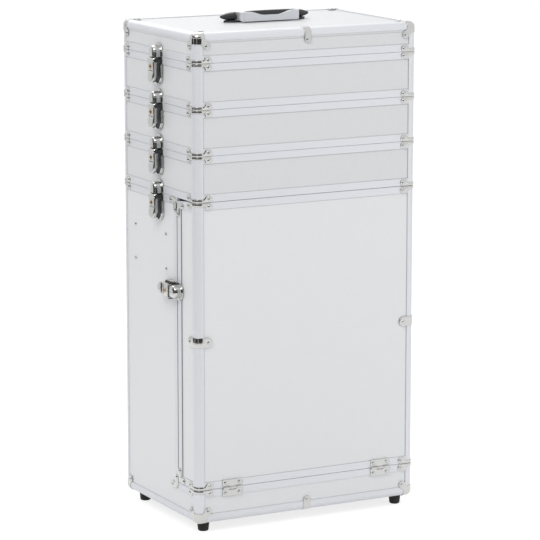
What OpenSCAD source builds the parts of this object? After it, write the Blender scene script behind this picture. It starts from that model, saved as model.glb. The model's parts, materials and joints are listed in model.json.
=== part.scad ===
// Rolling makeup case: a lid, three lift-off trays and a tall base with a
// drop-down front door, framed in aluminium profiles with chrome corners.
// Millimetres. The floor is z = 0, +Z is up and the door faces -Y. The origin
// lies on the floor, under the middle of the whole case with its wheels.

/* [Case] */
// Width over the profiles
case_w = 370; // [330:1:420]
// Depth over the profiles
case_d = 246; // [220:1:300]
// Height of the base, from its underside to the first tray
base_h = 482; // [440:1:560]
// Height of each tray
tray_h = 67.5; // [66:0.5:110]
// Height of the lid
lid_h = 44; // [42:1:80]
// Height of the rubber feet
foot_h = 15; // [12:1:20]

/* [Boards and profiles] */
// Thickness of the laminated boards
board_t = 3; // [2.5:0.1:4]
// Thickness of a profile's skin
skin_t = 1.2; // [1:0.1:1.5]
// Height of the band profile at each joint
band_h = 11; // [10:0.5:14]
// Height of the rounded profile under the base
edge_h = 14; // [12:0.5:18]
// Height of the rounded profile on top of the lid
lid_edge_h = 11; // [11:0.5:14]
// Radius of the rounded edges
edge_r = 8; // [6:0.5:9]
// Radius of the upright corners
corner_r = 10; // [9.5:0.5:12]
// Length of a corner post's leg
post_leg = 12.5; // [12:0.5:16]
// Depth of the web that carries a board's edge
web_t = 4.5; // [4:0.5:6]
// Height of the tongue on each lower unit
tongue_h = 2.5; // [1.5:0.5:3]
// Thickness of the tongue
tongue_t = 1.2; // [1:0.1:1.6]
// Clearance round the tongue in its groove
joint_fit = 0.35; // [0.2:0.05:0.5]

/* [Door] */
// Depth of the door's side returns
door_return = 61.5; // [50:0.5:80]
// Height of the fascia under the door, over the base's underside
sill_h = 51; // [46:1:80]
// Gap between the door and the frame round it
door_gap = 1; // [0.6:0.1:1.5]
// Clearance over the door as it swings
swing_gap = 0.4; // [0.3:0.1:1]
// Width of the profile on the door's rear edges
door_edge_w = 13; // [11:0.5:16]
// Width of the jamb profile on the base
jamb_w = 10; // [9:0.5:14]
// Distance of each hinge's centre from the case's side
hinge_inset = 58.5; // [50:0.5:90]
// Width of a hinge
hinge_w = 33; // [27:1:45]
// Height of a hinge leaf
leaf_h = 12.5; // [12:0.5:16]
// Thickness of a hinge leaf
leaf_t = 1; // [0.8:0.1:1.2]
// Radius of the hinge pin
hinge_pin_r = 1; // [0.8:0.1:1.1]
// Radius of the hinge barrel
barrel_r = 1.9; // [1.8:0.1:2]

/* [Corner fittings] */
// Thickness of the chrome fittings
cap_t = 0.9; // [0.7:0.1:1.2]
// Distance of a corner cap's rivets from the edges
cap_ear = 18.5; // [18:0.5:20]
// Radius of a corner cap's ears
cap_ear_r = 5.5; // [5:0.5:6]
// Distance of a bracket's rivets from the corner
bracket_ear = 21.5; // [20:0.5:26]
// Radius of a bracket's ears
bracket_ear_r = 5.1; // [4.6:0.1:5.4]
// Height of a bracket's strip round the corner
strip_h = 5; // [4:0.5:6]
// Radius of a rivet's head
rivet_r = 2.4; // [2:0.1:2.8]
// Height of a rivet's head
rivet_h = 1.3; // [1:0.1:1.6]
// Height of the clips at mid height on the door's corners
clip_h = 15; // [13:1:18]
// Height of the door clips over the floor
clip_z = 289; // [250:1:330]
// Width of the clips at the middle of the lid and the base
edge_clip_w = 11; // [10:0.5:14]

/* [Draw latches] */
// Place of the tray latches along the side, from the middle of the case
latch_y = -4; // [-20:1:20]
// Height of the door latches over the floor
door_latch_z = 358; // [330:1:380]
// Width of a latch's plates
latch_plate_w = 27; // [26:0.5:30]
// Width of a lever
lever_w = 20; // [19:0.5:21]
// Length of a latch below the joint
lever_l = 42; // [40:0.5:44]
// Length of a latch above the joint
catch_l = 20; // [19:0.5:21]
// Thickness of a latch's sheet metal
latch_t = 1.2; // [1:0.1:1.3]
// Radius of a lever's pivot pin
pivot_r = 1.3; // [1.2:0.1:1.5]
// Radius of the lever's rolled upper end
roll_r = 4; // [3.5:0.1:4.2]
// Height of a closed lever over the case's side
lever_out = 14.2; // [13.8:0.1:16]
// Running clearance of pins in their bores
run_fit = 0.05; // [0.02:0.01:0.1]
// Radius of the key cylinder
key_r = 3.2; // [2.8:0.1:3.6]

/* [Carry handle] */
// Length of the handle's plate
plate_l = 149; // [142:1:170]
// Width of the handle's plate
plate_w = 38; // [36:1:44]
// Thickness of the handle's plate
plate_t = 3; // [2.5:0.5:3.5]
// Radius of the bullet-shaped ends
boss_r = 8.5; // [8.5:0.5:10]
// Length of the bow over its arms
bow_l = 101; // [96:1:106]
// Distance of the bow's front from its pivots
bow_reach = 21.5; // [21:0.5:26]
// Height of the bow's strip
bow_h = 14.5; // [13:0.5:16]
// Depth of the dip in the strip's upper edge
bow_dip = 3.8; // [2:0.2:5]
// Thickness of the strip
bow_t = 2; // [1.5:0.1:2.5]
// Depth of the handle's grip
grip_d = 9.5; // [8:0.5:11]

/* [Trolley handle and wheels] */
// Distance between the middles of the two tubes
tube_gap = 144; // [120:2:180]
// Outside radius of the fixed sleeves
sleeve_r = 9; // [8:0.5:10]
// Thickness of the tubes
tube_t = 1.2; // [1:0.1:1.5]
// Travel of the trolley handle
trolley_travel = 380; // [300:10:390]
// Travel of the release button
button_travel = 3; // [2:0.5:4]
// Radius of the wheels
wheel_r = 20; // [18:1:24]
// Width of the wheels
wheel_w = 16; // [14:1:20]
// Distance of each wheel from the middle of the case
wheel_x = 125; // [110:1:140]
// Clearance of the wheels over the floor while the case stands
wheel_lift = 2; // [1:0.5:4]

/* [Feet and runners] */
// Radius of a foot at its top
foot_r = 9.5; // [8:0.5:10]
// Distance of the feet from the sides and the front
foot_inset = 20; // [20:0.5:26]
// Distance of the rear feet from the back
foot_inset_rear = 28; // [24:1:40]
// Distance of the upper runner's rivets under the base's top
runner_drop = 54; // [40:1:90]
// Distance between the two rows of rivets
runner_rows = 42; // [30:1:60]
// Distance between the two rivets of a runner
runner_span = 60; // [40:1:80]

/* [Hidden] */
$fn = 64;

aluminium = [0.86, 0.87, 0.88];
laminate = [0.83, 0.83, 0.84];
chrome = [0.78, 0.78, 0.80];
black = [0.10, 0.10, 0.11];
lining = [0.16, 0.16, 0.17];
brass = [0.78, 0.62, 0.30];

// Heights of the joints over the floor
base_z = foot_h;
sill_z = base_z + sill_h;
tray_z = base_z + base_h;
lid_z = tray_z + 3 * tray_h;
top_z = lid_z + lid_h;

// Walls: a board held between the two skins of a profile
wall_t = board_t + 2 * skin_t;
post_core = 3.8;
post_slot = wall_t - skin_t + post_core;
ease = 0.5;
eps = 0.01;
seat = 0.1;
curve_gap = 0.3;
tongue_in = (wall_t - tongue_t) / 2;
slot_in = 5;
edge_in = corner_r;
board_cut = 2.5;
cap_over = 4;
tray_floor_z = tongue_h + 2;
runner_from = 24;
runner_z = tray_z - runner_drop;

// Door: its hinge axis stands in front of the joint at the sill
barrel_gap = 0.4;
axis_y = -case_d / 2 - barrel_r - barrel_gap;
axis_z = sill_z;
swing_r = tray_z - axis_z - swing_gap;
joint_y = -case_d / 2 + door_return;
door_back = joint_y - door_gap / 2;
jamb_y = joint_y + door_gap / 2;
door_low = sill_z + door_gap / 2;
knuckle_gap = 0.3;
knuckle_half = hinge_w / 6;
hinge_half = hinge_w / 2;

// Latches: the sizes run outward from the case's side and up from the joint
latch_gap = 0.3;
keeper_gap = 0.2;
pivot_out = lever_out - roll_r;
pivot_down = roll_r + 0.5;
lever_low = lever_l - (latch_plate_w - lever_w) / 2;
flange_d = 4.6;
bar_w = 12;
bar_t = 2.4;
bar_out = pivot_out - roll_r - 1;
bar_low = 30;
bar_top = 2.5;
key_drop = 14;
key_out = 0.5;
key_slot = 0.8;
keeper_w = 8;
keeper_low = 6;
keeper_l = 9;
ear_t = 1.4;
ear_r = 2.6;
ear_gap = 0.3;
pin_half = lever_w / 2 + ear_gap + ear_t + 0.4;
rim_h = 3.8;
rim_in = 0.8;
rim_gap = 1.2;
hood_in = 3;
hood_less = 0.7;

// Handles and wheels
sleeve_gap = 1.5;
sleeve_end = 25;
hold_gap = 4;
tube_y = case_d / 2 + sleeve_r + sleeve_gap;
inner_r = sleeve_r - tube_t - seat;
sleeve_low = base_z + sleeve_end;
sleeve_top = tray_z - sleeve_end;
trolley_grip_z = tray_z + hold_gap;
mount_h = 20;
bracket_t = 3;
wheel_gap = 1;
wheel_y = case_d / 2 + bracket_t + wheel_r + wheel_gap;
wheel_z = wheel_r + wheel_lift;
axle_r = 3;
hub_r = 0.62 * wheel_r;
cheek_t = 2.5;
cheek_gap = 0.8;
collar_l = 1;
tube_end = 10;
button_l = 26;
button_w = 9;
hold_h = 26;
button_sink = 4;
button_floor_z = trolley_grip_z + hold_h - button_travel - button_sink;
handle_axis_y = 13;
handle_axis_z = top_z + boss_r;
handle_pin_r = 2;
boss_gap = 0.8;
boss_x = bow_l / 2 + boss_gap;
boss_l = plate_l / 2 - boss_x;
bow_front = handle_axis_y - bow_reach;
bow_low = top_z - skin_t + plate_t + curve_gap;
arm_t = 6;
arm_r = 6;

// The case's middle sits behind the origin's, so that the origin is under
// the middle of everything from the hinge barrels to the wheels
front_reach = -axis_y + barrel_r;
rear_reach = wheel_y + wheel_r;
case_y = (front_reach - rear_reach) / 2;

// Placing helpers

module in_frame() translate([0, case_y, 0]) children();

// The children and their mirror image
module pair(v) {
    children();
    mirror(v) children();
}

// The children at the four upright corners, drawn with the corner at the
// origin and the walls along +X and +Y
module at_corners() {
    pair([1, 0, 0]) pair([0, 1, 0]) translate([-case_w / 2, -case_d / 2, 0]) children();
}

module at_front_corners() {
    pair([1, 0, 0]) translate([-case_w / 2, -case_d / 2, 0]) children();
}

// A section swept along +X, its x inward and its y up
module sweep_x(l) rotate([90, 0, 90]) linear_extrude(l) children();

// A section swept along +Y from the origin, its x along +X and its y up
module sweep_y(l) translate([0, l, 0]) rotate([90, 0, 0]) linear_extrude(l) children();

// A section swept along all four walls, between the corner posts
module round_walls(inset) {
    front_walls(inset) children();
    pair([1, 0, 0]) translate([-case_w / 2, -case_d / 2 + inset + seat, 0])
        sweep_y(case_d - 2 * inset - 2 * seat) children();
}

// A section swept along the front wall, and along the back one too
module front_wall(inset) {
    translate([-case_w / 2 + inset + seat, -case_d / 2, 0])
        sweep_x(case_w - 2 * inset - 2 * seat) children();
}

module front_walls(inset) pair([0, 1, 0]) front_wall(inset) children();

// A dome-headed rivet that points along +Z
module rivet(r = rivet_r, h = rivet_h) {
    ball_r = (r * r + h * h) / (2 * h);
    color(chrome) intersection() {
        translate([0, 0, h - ball_r]) sphere(ball_r);
        cylinder(r = r, h = h);
    }
}

// Sections of the profiles

// A square whose outer corners, at x = 0, are eased
module eased2d(w, h) {
    polygon([[ease, 0], [w, 0], [w, h], [ease, h], [0, h - ease], [0, ease]]);
}

// Corner post, its outer corner at the origin
module post2d() {
    difference() {
        intersection() {
            union() {
                square([post_leg, wall_t]);
                square([wall_t, post_leg]);
            }
            union() {
                translate([corner_r, corner_r]) circle(corner_r);
                translate([corner_r, 0]) square(post_leg);
                translate([0, corner_r]) square(post_leg);
            }
        }
        translate([post_slot, skin_t]) square([post_leg, board_t]);
        translate([skin_t, post_slot]) square([board_t, post_leg]);
    }
}

// Band on a unit's upper edge: the joint is at y = 0, with a tongue over it
module top_band2d(tongue = true) {
    difference() {
        translate([0, -band_h]) eased2d(wall_t, band_h);
        translate([skin_t, -band_h - 1]) square([board_t, band_h - web_t + 1]);
    }
    if (tongue) translate([tongue_in, -eps]) square([tongue_t, tongue_h + eps]);
}

// Band on a unit's lower edge: the joint is at y = 0, with a groove in it
module bottom_band2d() {
    difference() {
        eased2d(wall_t, band_h);
        translate([skin_t, web_t]) square([board_t, band_h]);
        translate([tongue_in - joint_fit, -1])
            square([tongue_t + 2 * joint_fit, tongue_h + joint_fit + 1]);
    }
}

// Outside of a rounded edge, grown by g: x inward, the top face at y = 0
module edge_outside2d(g, reach) {
    intersection() {
        translate([-g, -reach]) square(reach + g);
        union() {
            translate([edge_r, -edge_r]) circle(edge_r + g);
            translate([edge_r, -reach]) square(reach + g);
            translate([-g, -reach]) square([reach + g, reach - edge_r]);
        }
    }
}

// Rounded edge profile: it grips the wall's board and the flat panel's edge
module edge2d(h) {
    difference() {
        intersection() {
            edge_outside2d(0, edge_in + h);
            translate([0, -h]) square([edge_in, h]);
        }
        translate([wall_t, -h - 1]) square([edge_in, h + 1 - wall_t]);
        translate([skin_t, -h - 1]) square([board_t, 1 + h - edge_r]);
        translate([edge_in - slot_in, -skin_t - board_t]) square([edge_in, board_t]);
    }
}

// Thin sheet over a rounded edge
module edge_sheet2d(reach) {
    difference() {
        edge_outside2d(seat + cap_t, reach);
        edge_outside2d(seat, reach + 1);
    }
}

// Plan of the outside of an upright corner, grown by g
module corner_outside2d(g, leg) {
    intersection() {
        translate([-g, -g]) square(leg + g);
        union() {
            translate([corner_r, corner_r]) circle(corner_r + g);
            translate([corner_r, -g]) square(leg + g);
            translate([-g, corner_r]) square(leg + g);
        }
    }
}

// Thin sheet round an upright corner
module corner_sheet2d(leg) {
    difference() {
        corner_outside2d(seat + cap_t, leg);
        corner_outside2d(seat, leg + 1);
    }
}

// Chrome fittings

// The children on both walls of a corner
module both_walls() {
    children();
    mirror([1, -1, 0]) children();
}

// A rivet on the front wall, a wall's fitting under it
module wall_rivet(x, z) {
    translate([x, -seat - cap_t, z]) rotate([90, 0, 0]) rivet();
}

// Leaf of a corner bracket, in outline: its strip runs to the corner and its
// round end holds the rivet
module bracket_leaf2d() {
    r = bracket_ear_r;
    translate([bracket_ear, r + ease]) circle(r);
    polygon([
        [corner_r, 0], [bracket_ear, 0], [bracket_ear, 2 * r + ease],
        [post_leg + strip_h - ease, 2 * r + ease], [post_leg, strip_h], [corner_r, strip_h]
    ]);
}

// Half of a corner bracket: a strip round the corner and a leaf on each wall
module bracket_half() {
    color(chrome) union() {
        linear_extrude(strip_h) corner_sheet2d(post_leg);
        both_walls() translate([0, -seat, 0]) rotate([90, 0, 0]) linear_extrude(cap_t) bracket_leaf2d();
        translate([corner_r, corner_r, strip_h - 2 * cap_t]) rotate([0, 0, 180])
            rotate_extrude(angle = 90) translate([corner_r + seat + cap_t, 0]) circle(cap_t);
    }
    both_walls() wall_rivet(bracket_ear, bracket_ear_r + ease);
}

// Outline of a corner cap on one face: an ear on the diagonal, with a
// concave arc from it to each edge
module cap_leaf2d() {
    cut_r = 11.2;
    cut_far = cap_ear + 7.5;
    cut_near = 5;
    difference() {
        union() {
            translate([-cap_over, -cap_over]) square(cap_ear + cap_over);
            translate([cap_ear, cap_ear]) circle(cap_ear_r);
        }
        translate([cut_far, cut_near]) circle(cut_r);
        translate([cut_near, cut_far]) circle(cut_r);
    }
}

// Three-way corner cap, its corner at the origin and its faces along +X, +Y
// and -Z: a thin shell over the rounded edges, cut to a leaf on each face.
// foot is a foot's distance from the front, where one stands under the cap.
module corner_cap(foot = 0) {
    reach = cap_ear + cap_ear_r + 1;
    depth = edge_r + 1;
    leaf_h = depth + cap_over;
    color(chrome) difference() {
        cap_shell(reach, depth, leaf_h);
        if (foot > 0) translate([foot_inset, foot, -1]) cylinder(r = foot_r + curve_gap, h = leaf_h);
    }
    both_walls() wall_rivet(cap_ear, -cap_ear);
    if (foot == 0) translate([cap_ear, cap_ear, seat + cap_t]) rivet();
}

module cap_shell(reach, depth, leaf_h) {
    intersection() {
        union() {
            translate([corner_r, corner_r, 0]) rotate([0, 0, 180]) rotate_extrude(angle = 90)
                intersection() {
                    translate([corner_r, 0]) mirror([1, 0]) edge_sheet2d(reach);
                    translate([0, -reach - 1]) square(2 * reach);
                }
            translate([corner_r, 0, 0]) sweep_x(reach - corner_r) edge_sheet2d(reach);
            translate([0, corner_r, 0]) sweep_y(reach - corner_r) edge_sheet2d(reach);
        }
        union() {
            translate([0, 0, -depth]) linear_extrude(leaf_h) cap_leaf2d();
            both_walls() translate([0, depth, 0]) rotate([90, 0, 0]) linear_extrude(leaf_h)
                mirror([0, 1]) cap_leaf2d();
        }
    }
}

// Clip round an upright corner, with a rounded end on each wall
module corner_clip() {
    end_r = clip_h / 2;
    end_x = bracket_ear - 3;
    color(chrome) union() {
        linear_extrude(clip_h) corner_sheet2d(end_x);
        both_walls() translate([end_x, -seat, end_r]) rotate([90, 0, 0]) cylinder(r = end_r, h = cap_t);
    }
    both_walls() wall_rivet(end_x + 1, end_r);
}

// Clip over a rounded edge at the middle of a wall
module edge_clip() {
    reach = 16.5;
    ear_r = edge_clip_w / 2;
    color(chrome) translate([-ear_r, 0, 0]) union() {
        sweep_x(edge_clip_w) edge_sheet2d(reach);
        translate([ear_r, -seat, -reach]) rotate([90, 0, 0]) cylinder(r = ear_r, h = cap_t);
    }
    wall_rivet(0, -reach);
}

// L-shaped plate for a corner of the door opening, on the side wall: its
// inner corner points along +Y and -Z
module l_plate() {
    leg = 18;
    w = 9;
    arm = w / 2;
    translate([-case_w / 2 - seat - cap_t, 0, 0]) {
        color(chrome) union() {
            translate([0, 0, -w]) cube([cap_t, leg, w]);
            translate([0, leg, -arm]) rotate([0, 90, 0]) cylinder(r = arm, h = cap_t);
            translate([0, 0, -leg]) cube([cap_t, w, leg]);
            translate([0, arm, -leg]) rotate([0, 90, 0]) cylinder(r = arm, h = cap_t);
        }
        for (p = [[leg, -arm], [arm, -leg]])
            translate([0, p[0], p[1]]) rotate([0, -90, 0]) rivet();
    }
}

// Draw latches, drawn at a joint with the lower unit below it: x is outward

// The children on the case's right-hand side, at a joint's height
module at_side(z) translate([case_w / 2, latch_y, z]) children();

// The children at a door latch: its catch points to the front
module at_door_latch() {
    translate([case_w / 2, joint_y, door_latch_z]) rotate([90, 0, 0]) children();
}

// Outline with a round end: y across, z from the joint away
module latch_outline2d(w, l) {
    intersection() {
        union() {
            translate([-w / 2, 0]) square([w, l - w / 2]);
            translate([0, l - w / 2]) circle(w / 2);
        }
        translate([-w, latch_gap]) square([2 * w, l]);
    }
}

// A sheet with that outline, from height a to height b outward, pointing up
module latch_sheet(w, l, a, b) {
    translate([a, 0, 0]) rotate([90, 0, 90]) linear_extrude(b - a) latch_outline2d(w, l);
}

// Fixed plate of the lever, with its rim, two ears and the pivot pin
module lever_plate() {
    color(chrome) union() {
        mirror([0, 0, 1]) {
            latch_sheet(latch_plate_w, lever_l, seat, seat + latch_t);
            difference() {
                latch_sheet(latch_plate_w - 2 * rim_in, lever_l - rim_in, seat, rim_h);
                latch_sheet(lever_w + 2 * rim_gap, lever_l - (latch_plate_w - lever_w) / 2 + rim_gap,
                            -1, rim_h + 1);
                translate([-1, -latch_plate_w / 2, -1])
                    cube([rim_h + 2, latch_plate_w, pivot_down + roll_r + 1]);
            }
        }
        pair([0, 1, 0]) translate([0, lever_w / 2 + ear_gap, 0]) {
            translate([seat, 0, -pivot_down - ear_r]) cube([pivot_out - seat, ear_t, 2 * ear_r]);
            translate([pivot_out, 0, -pivot_down]) rotate([-90, 0, 0]) cylinder(r = ear_r, h = ear_t);
        }
        translate([pivot_out, -pin_half, -pivot_down])
            rotate([-90, 0, 0]) cylinder(r = pivot_r, h = 2 * pin_half);
    }
}

// Lever: a shallow channel curled round its pivot at the top, with a key
// cylinder in its face, a raised finger end and the draw bar behind it
module lever() {
    tip_l = 19;
    tip_in = 0.8;
    step = 1.5;
    color(chrome) difference() {
        union() {
            difference() {
                lever_prism(0);
                lever_prism(latch_t);
            }
            translate([pivot_out, -lever_w / 2, -pivot_down]) rotate([-90, 0, 0])
                cylinder(r = roll_r, h = lever_w);
            intersection() {
                mirror([0, 0, 1])
                    latch_sheet(lever_w - 2 * tip_in, lever_low - tip_in, lever_out - ease, lever_out + step);
                translate([0, -lever_w, -lever_low]) cube([2 * lever_out, 2 * lever_w, tip_l]);
            }
            translate([bar_out, -bar_w / 2, -bar_low]) cube([bar_t, bar_w, bar_low - bar_top]);
            translate([bar_out, -bar_w / 2, -pivot_down - bar_t])
                cube([pivot_out - bar_out, bar_w, bar_t]);
        }
        translate([pivot_out, -lever_w, -pivot_down]) rotate([-90, 0, 0])
            cylinder(r = pivot_r + run_fit, h = 2 * lever_w);
        translate([lever_out - 2 * latch_t, 0, -key_drop]) rotate([0, 90, 0])
            cylinder(r = key_r + seat, h = 4 * latch_t);
    }
    color(brass) translate([lever_out - latch_t, 0, -key_drop]) rotate([0, 90, 0]) difference() {
        cylinder(r = key_r, h = latch_t + key_out);
        translate([-key_slot / 2, -key_r / 2, latch_t]) cube([key_slot, key_r, 2 * key_out]);
    }
}

// Outside of the lever's channel, or its inside where t is its metal
module lever_prism(t) {
    from = lever_out - flange_d - t;
    intersection() {
        mirror([0, 0, 1]) latch_sheet(lever_w - 2 * t, lever_low - t, from, lever_out - t);
        translate([0, -lever_w, -lever_low]) cube([2 * lever_out, 2 * lever_w, lever_low - pivot_down]);
    }
}

// Catch on the upper unit: a plate with a domed hood over the lever's end,
// and a keeper that hangs down behind the lever
module catch() {
    hood_l = catch_l - hood_in;
    pin_r = 1.3;
    pin_h = 0.8;
    color(chrome) union() {
        latch_sheet(latch_plate_w, catch_l, seat, seat + latch_t);
        difference() {
            hood_block(0, hood_l);
            hood_block(latch_t, hood_l);
        }
        translate([seat + latch_t + keeper_gap, -keeper_w / 2, -keeper_low])
            cube([latch_t, keeper_w, keeper_low]);
        translate([seat + latch_t - eps, -keeper_w / 2, latch_gap])
            cube([latch_t + keeper_gap + eps, keeper_w, keeper_l - keeper_low]);
        translate([seat + latch_t + keeper_gap, -keeper_w / 2, -eps])
            cube([latch_t, keeper_w, latch_gap + 2 * eps]);
    }
    pair([0, 1, 0]) translate([seat + latch_t, (latch_plate_w + lever_w) / 4, catch_l - latch_plate_w / 3])
        rotate([0, 90, 0]) rivet(pin_r, pin_h);
}

// Inside or outside of the hood, in from its faces by t
module hood_block(t, hood_l) {
    w = lever_w - 2 * t;
    dome_r = lever_out - hood_less;
    below = t > 0 ? 1 : 0;
    intersection() {
        translate([0, 0, -below]) latch_sheet(w, hood_l - t + below, seat, lever_out);
        union() {
            translate([seat, w, hood_l - dome_r]) rotate([90, 0, 0])
                cylinder(r = dome_r - t, h = 2 * w);
            translate([seat, -w, -1]) cube([dome_r - t, 2 * w, 1 + hood_l - dome_r]);
        }
    }
}

// Units

// Frame of a lift-off unit between two joints, its lower joint at z = 0
module unit_posts(h) {
    color(aluminium) at_corners() linear_extrude(h) post2d();
}

// Wall boards between two heights, in the posts' slots
module wall_boards(low, high) {
    color(laminate) round_walls(post_slot)
        translate([skin_t, low]) square([board_t, high - low]);
}

// Top or bottom board, its edges in the slots of the rounded profiles and its
// corners cut off under the caps
module flat_board() {
    x = case_w / 2 - edge_in + slot_in;
    y = case_d / 2 - edge_in + slot_in;
    linear_extrude(board_t) polygon([
        [-x, -y + board_cut], [-x + board_cut, -y], [x - board_cut, -y], [x, -y + board_cut],
        [x, y - board_cut], [x - board_cut, y], [-x + board_cut, y], [-x, y - board_cut]
    ]);
}

module tray_panels() {
    wall_boards(web_t, tray_h - web_t);
    color(lining) translate([-case_w / 2 + wall_t, -case_d / 2 + wall_t, tray_floor_z])
        cube([case_w - 2 * wall_t, case_d - 2 * wall_t, board_t]);
}

module tray_frame() {
    unit_posts(tray_h);
    color(aluminium) {
        round_walls(post_leg) bottom_band2d();
        translate([0, 0, tray_h]) round_walls(post_leg) top_band2d();
    }
}

module tray_corners() {
    at_corners() {
        bracket_half();
        translate([0, 0, tray_h]) mirror([0, 0, 1]) bracket_half();
    }
}

module tray_latches() {
    pair([1, 0, 0]) {
        at_side(0) catch();
        at_side(tray_h) lever_plate();
    }
}

module tray(n) translate([0, 0, lid_z - n * tray_h]) children();

module lid_panels() {
    color(laminate) {
        wall_boards(web_t, lid_h - edge_r);
        translate([0, 0, lid_h - skin_t - board_t]) flat_board();
    }
}

module lid_frame() {
    unit_posts(lid_h - edge_r - 1);
    color(aluminium) {
        round_walls(post_leg) bottom_band2d();
        translate([0, 0, lid_h]) round_walls(post_leg) edge2d(lid_edge_h);
    }
}

module lid_corners() {
    at_corners() {
        bracket_half();
        translate([0, 0, lid_h]) corner_cap();
    }
    pair([0, 1, 0]) translate([0, -case_d / 2, lid_h]) edge_clip();
}

module lid_catches() pair([1, 0, 0]) at_side(0) catch();

// Base

// Side board in outline: full height behind the joint, low under the door
module side_board2d() {
    back = case_d / 2 - post_slot;
    low = base_z + edge_r;
    polygon([
        [-case_d / 2 + post_slot, low], [back, low], [back, tray_z - web_t],
        [jamb_y + web_t, tray_z - web_t], [jamb_y + web_t, sill_z - web_t],
        [-case_d / 2 + post_slot, sill_z - web_t]
    ]);
}

module base_panels() {
    color(laminate) {
        pair([1, 0, 0]) translate([-case_w / 2 + skin_t, 0, 0])
            rotate([90, 0, 90]) linear_extrude(board_t) side_board2d();
        translate([-case_w / 2 + post_slot, case_d / 2 - skin_t - board_t, base_z + edge_r])
            cube([case_w - 2 * post_slot, board_t, base_h - edge_r - web_t]);
    }
}

module base_floor() {
    color(lining) translate([0, 0, base_z + skin_t]) flat_board();
}

module base_fascia() {
    color(laminate) translate([-case_w / 2 + post_slot, -case_d / 2 + skin_t, base_z + edge_r])
        cube([case_w - 2 * post_slot, board_t, sill_h - edge_r - web_t]);
}

module base_posts() {
    color(aluminium) {
        pair([1, 0, 0]) mirror([0, 1, 0]) translate([-case_w / 2, -case_d / 2, base_z + edge_r + 1])
            linear_extrude(base_h - edge_r - 1) post2d();
        at_front_corners() translate([0, 0, base_z + edge_r + 1])
            linear_extrude(sill_h - edge_r - 1) post2d();
    }
}

// Bands on the base's sides and back, and the jambs that the door closes on
module base_top_frame() {
    jamb_low = sill_z;
    color(aluminium) {
        translate([0, 0, tray_z]) mirror([0, 1, 0]) front_wall(post_leg) top_band2d();
        pair([1, 0, 0]) {
            translate([-case_w / 2, jamb_y, tray_z])
                sweep_y(case_d / 2 - post_leg - seat - jamb_y) top_band2d();
            translate([-case_w / 2, jamb_y, jamb_low]) linear_extrude(tray_z - band_h - seat - jamb_low)
                difference() {
                    square([wall_t, jamb_w]);
                    translate([skin_t, web_t]) square([board_t, jamb_w]);
                }
        }
    }
}

module base_edge_frame() {
    color(aluminium) translate([0, 0, base_z]) mirror([0, 0, 1])
        round_walls(post_leg) edge2d(edge_h);
}

// Band along the fascia and under the door's returns
module base_sill_frame() {
    color(aluminium) {
        translate([0, 0, sill_z]) front_wall(post_leg) top_band2d(false);
        pair([1, 0, 0]) translate([-case_w / 2, -case_d / 2 + post_leg + seat, sill_z])
            sweep_y(jamb_y - post_leg - 2 * seat + case_d / 2) top_band2d(false);
    }
}

module base_corners() {
    translate([0, 0, base_z]) mirror([0, 0, 1]) {
        at_front_corners() corner_cap(foot_inset);
        mirror([0, 1, 0]) at_front_corners() corner_cap(foot_inset_rear);
    }
    translate([0, 0, tray_z]) mirror([0, 0, 1]) pair([1, 0, 0]) mirror([0, 1, 0])
        translate([-case_w / 2, -case_d / 2, 0]) bracket_half();
    at_front_corners() translate([0, 0, sill_z]) mirror([0, 0, 1]) bracket_half();
    pair([0, 1, 0]) translate([0, -case_d / 2, base_z]) mirror([0, 0, 1]) edge_clip();
    pair([1, 0, 0]) {
        translate([0, jamb_y, tray_z - ease]) l_plate();
        translate([0, jamb_y, sill_z - band_h + ease]) mirror([0, 0, 1]) l_plate();
        for (y = [0, runner_span], z = [0, runner_rows])
            translate([-case_w / 2 + skin_t, latch_y + runner_from + y, runner_z - z])
                rotate([0, -90, 0]) rivet();
    }
}

// Angle runners inside the side boards, behind the rows of rivets
module base_runners() {
    leg = 12;
    over = 12;
    color(aluminium) pair([1, 0, 0]) for (z = [0, runner_rows])
        translate([-case_w / 2 + skin_t + board_t, latch_y + runner_from - over, runner_z - z - leg / 2])
            sweep_y(runner_span + 2 * over) {
                square([skin_t, leg]);
                square([leg, skin_t]);
            }
}

// Tapered rubber feet
module rubber_feet() {
    round = 2;
    taper = 1.5;
    low_r = foot_r - taper;
    high = base_z + skin_t;
    for (p = [[1, -case_d / 2 + foot_inset], [1, case_d / 2 - foot_inset_rear],
              [-1, -case_d / 2 + foot_inset], [-1, case_d / 2 - foot_inset_rear]])
        color(black) translate([p[0] * (case_w / 2 - foot_inset), p[1], 0]) rotate_extrude() {
            polygon([[0, 0], [low_r - round, 0], [low_r, round], [foot_r, high], [0, high]]);
            intersection() {
                translate([low_r - round, round]) circle(round);
                translate([low_r - round, 0]) square(round);
            }
        }
}

module base_latches() {
    pair([1, 0, 0]) {
        at_side(tray_z) lever_plate();
        at_door_latch() lever_plate();
    }
}

// Door

// Whatever is on the door stays within the circle of its swing
module within_swing() {
    intersection() {
        children();
        translate([-case_w, axis_y, axis_z]) rotate([0, 90, 0])
            cylinder(r = swing_r, h = 2 * case_w, $fn = 360);
    }
}

module door_panels() {
    low = door_low + web_t;
    high = tray_z - swing_gap - web_t;
    back = door_back - web_t;
    color(laminate) {
        translate([-case_w / 2 + post_slot, -case_d / 2 + skin_t, low])
            cube([case_w - 2 * post_slot, board_t, high - low]);
        pair([1, 0, 0]) within_swing() translate([-case_w / 2 + skin_t, -case_d / 2 + post_slot, low])
            cube([board_t, back + case_d / 2 - post_slot, high - low - web_t]);
    }
}

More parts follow.
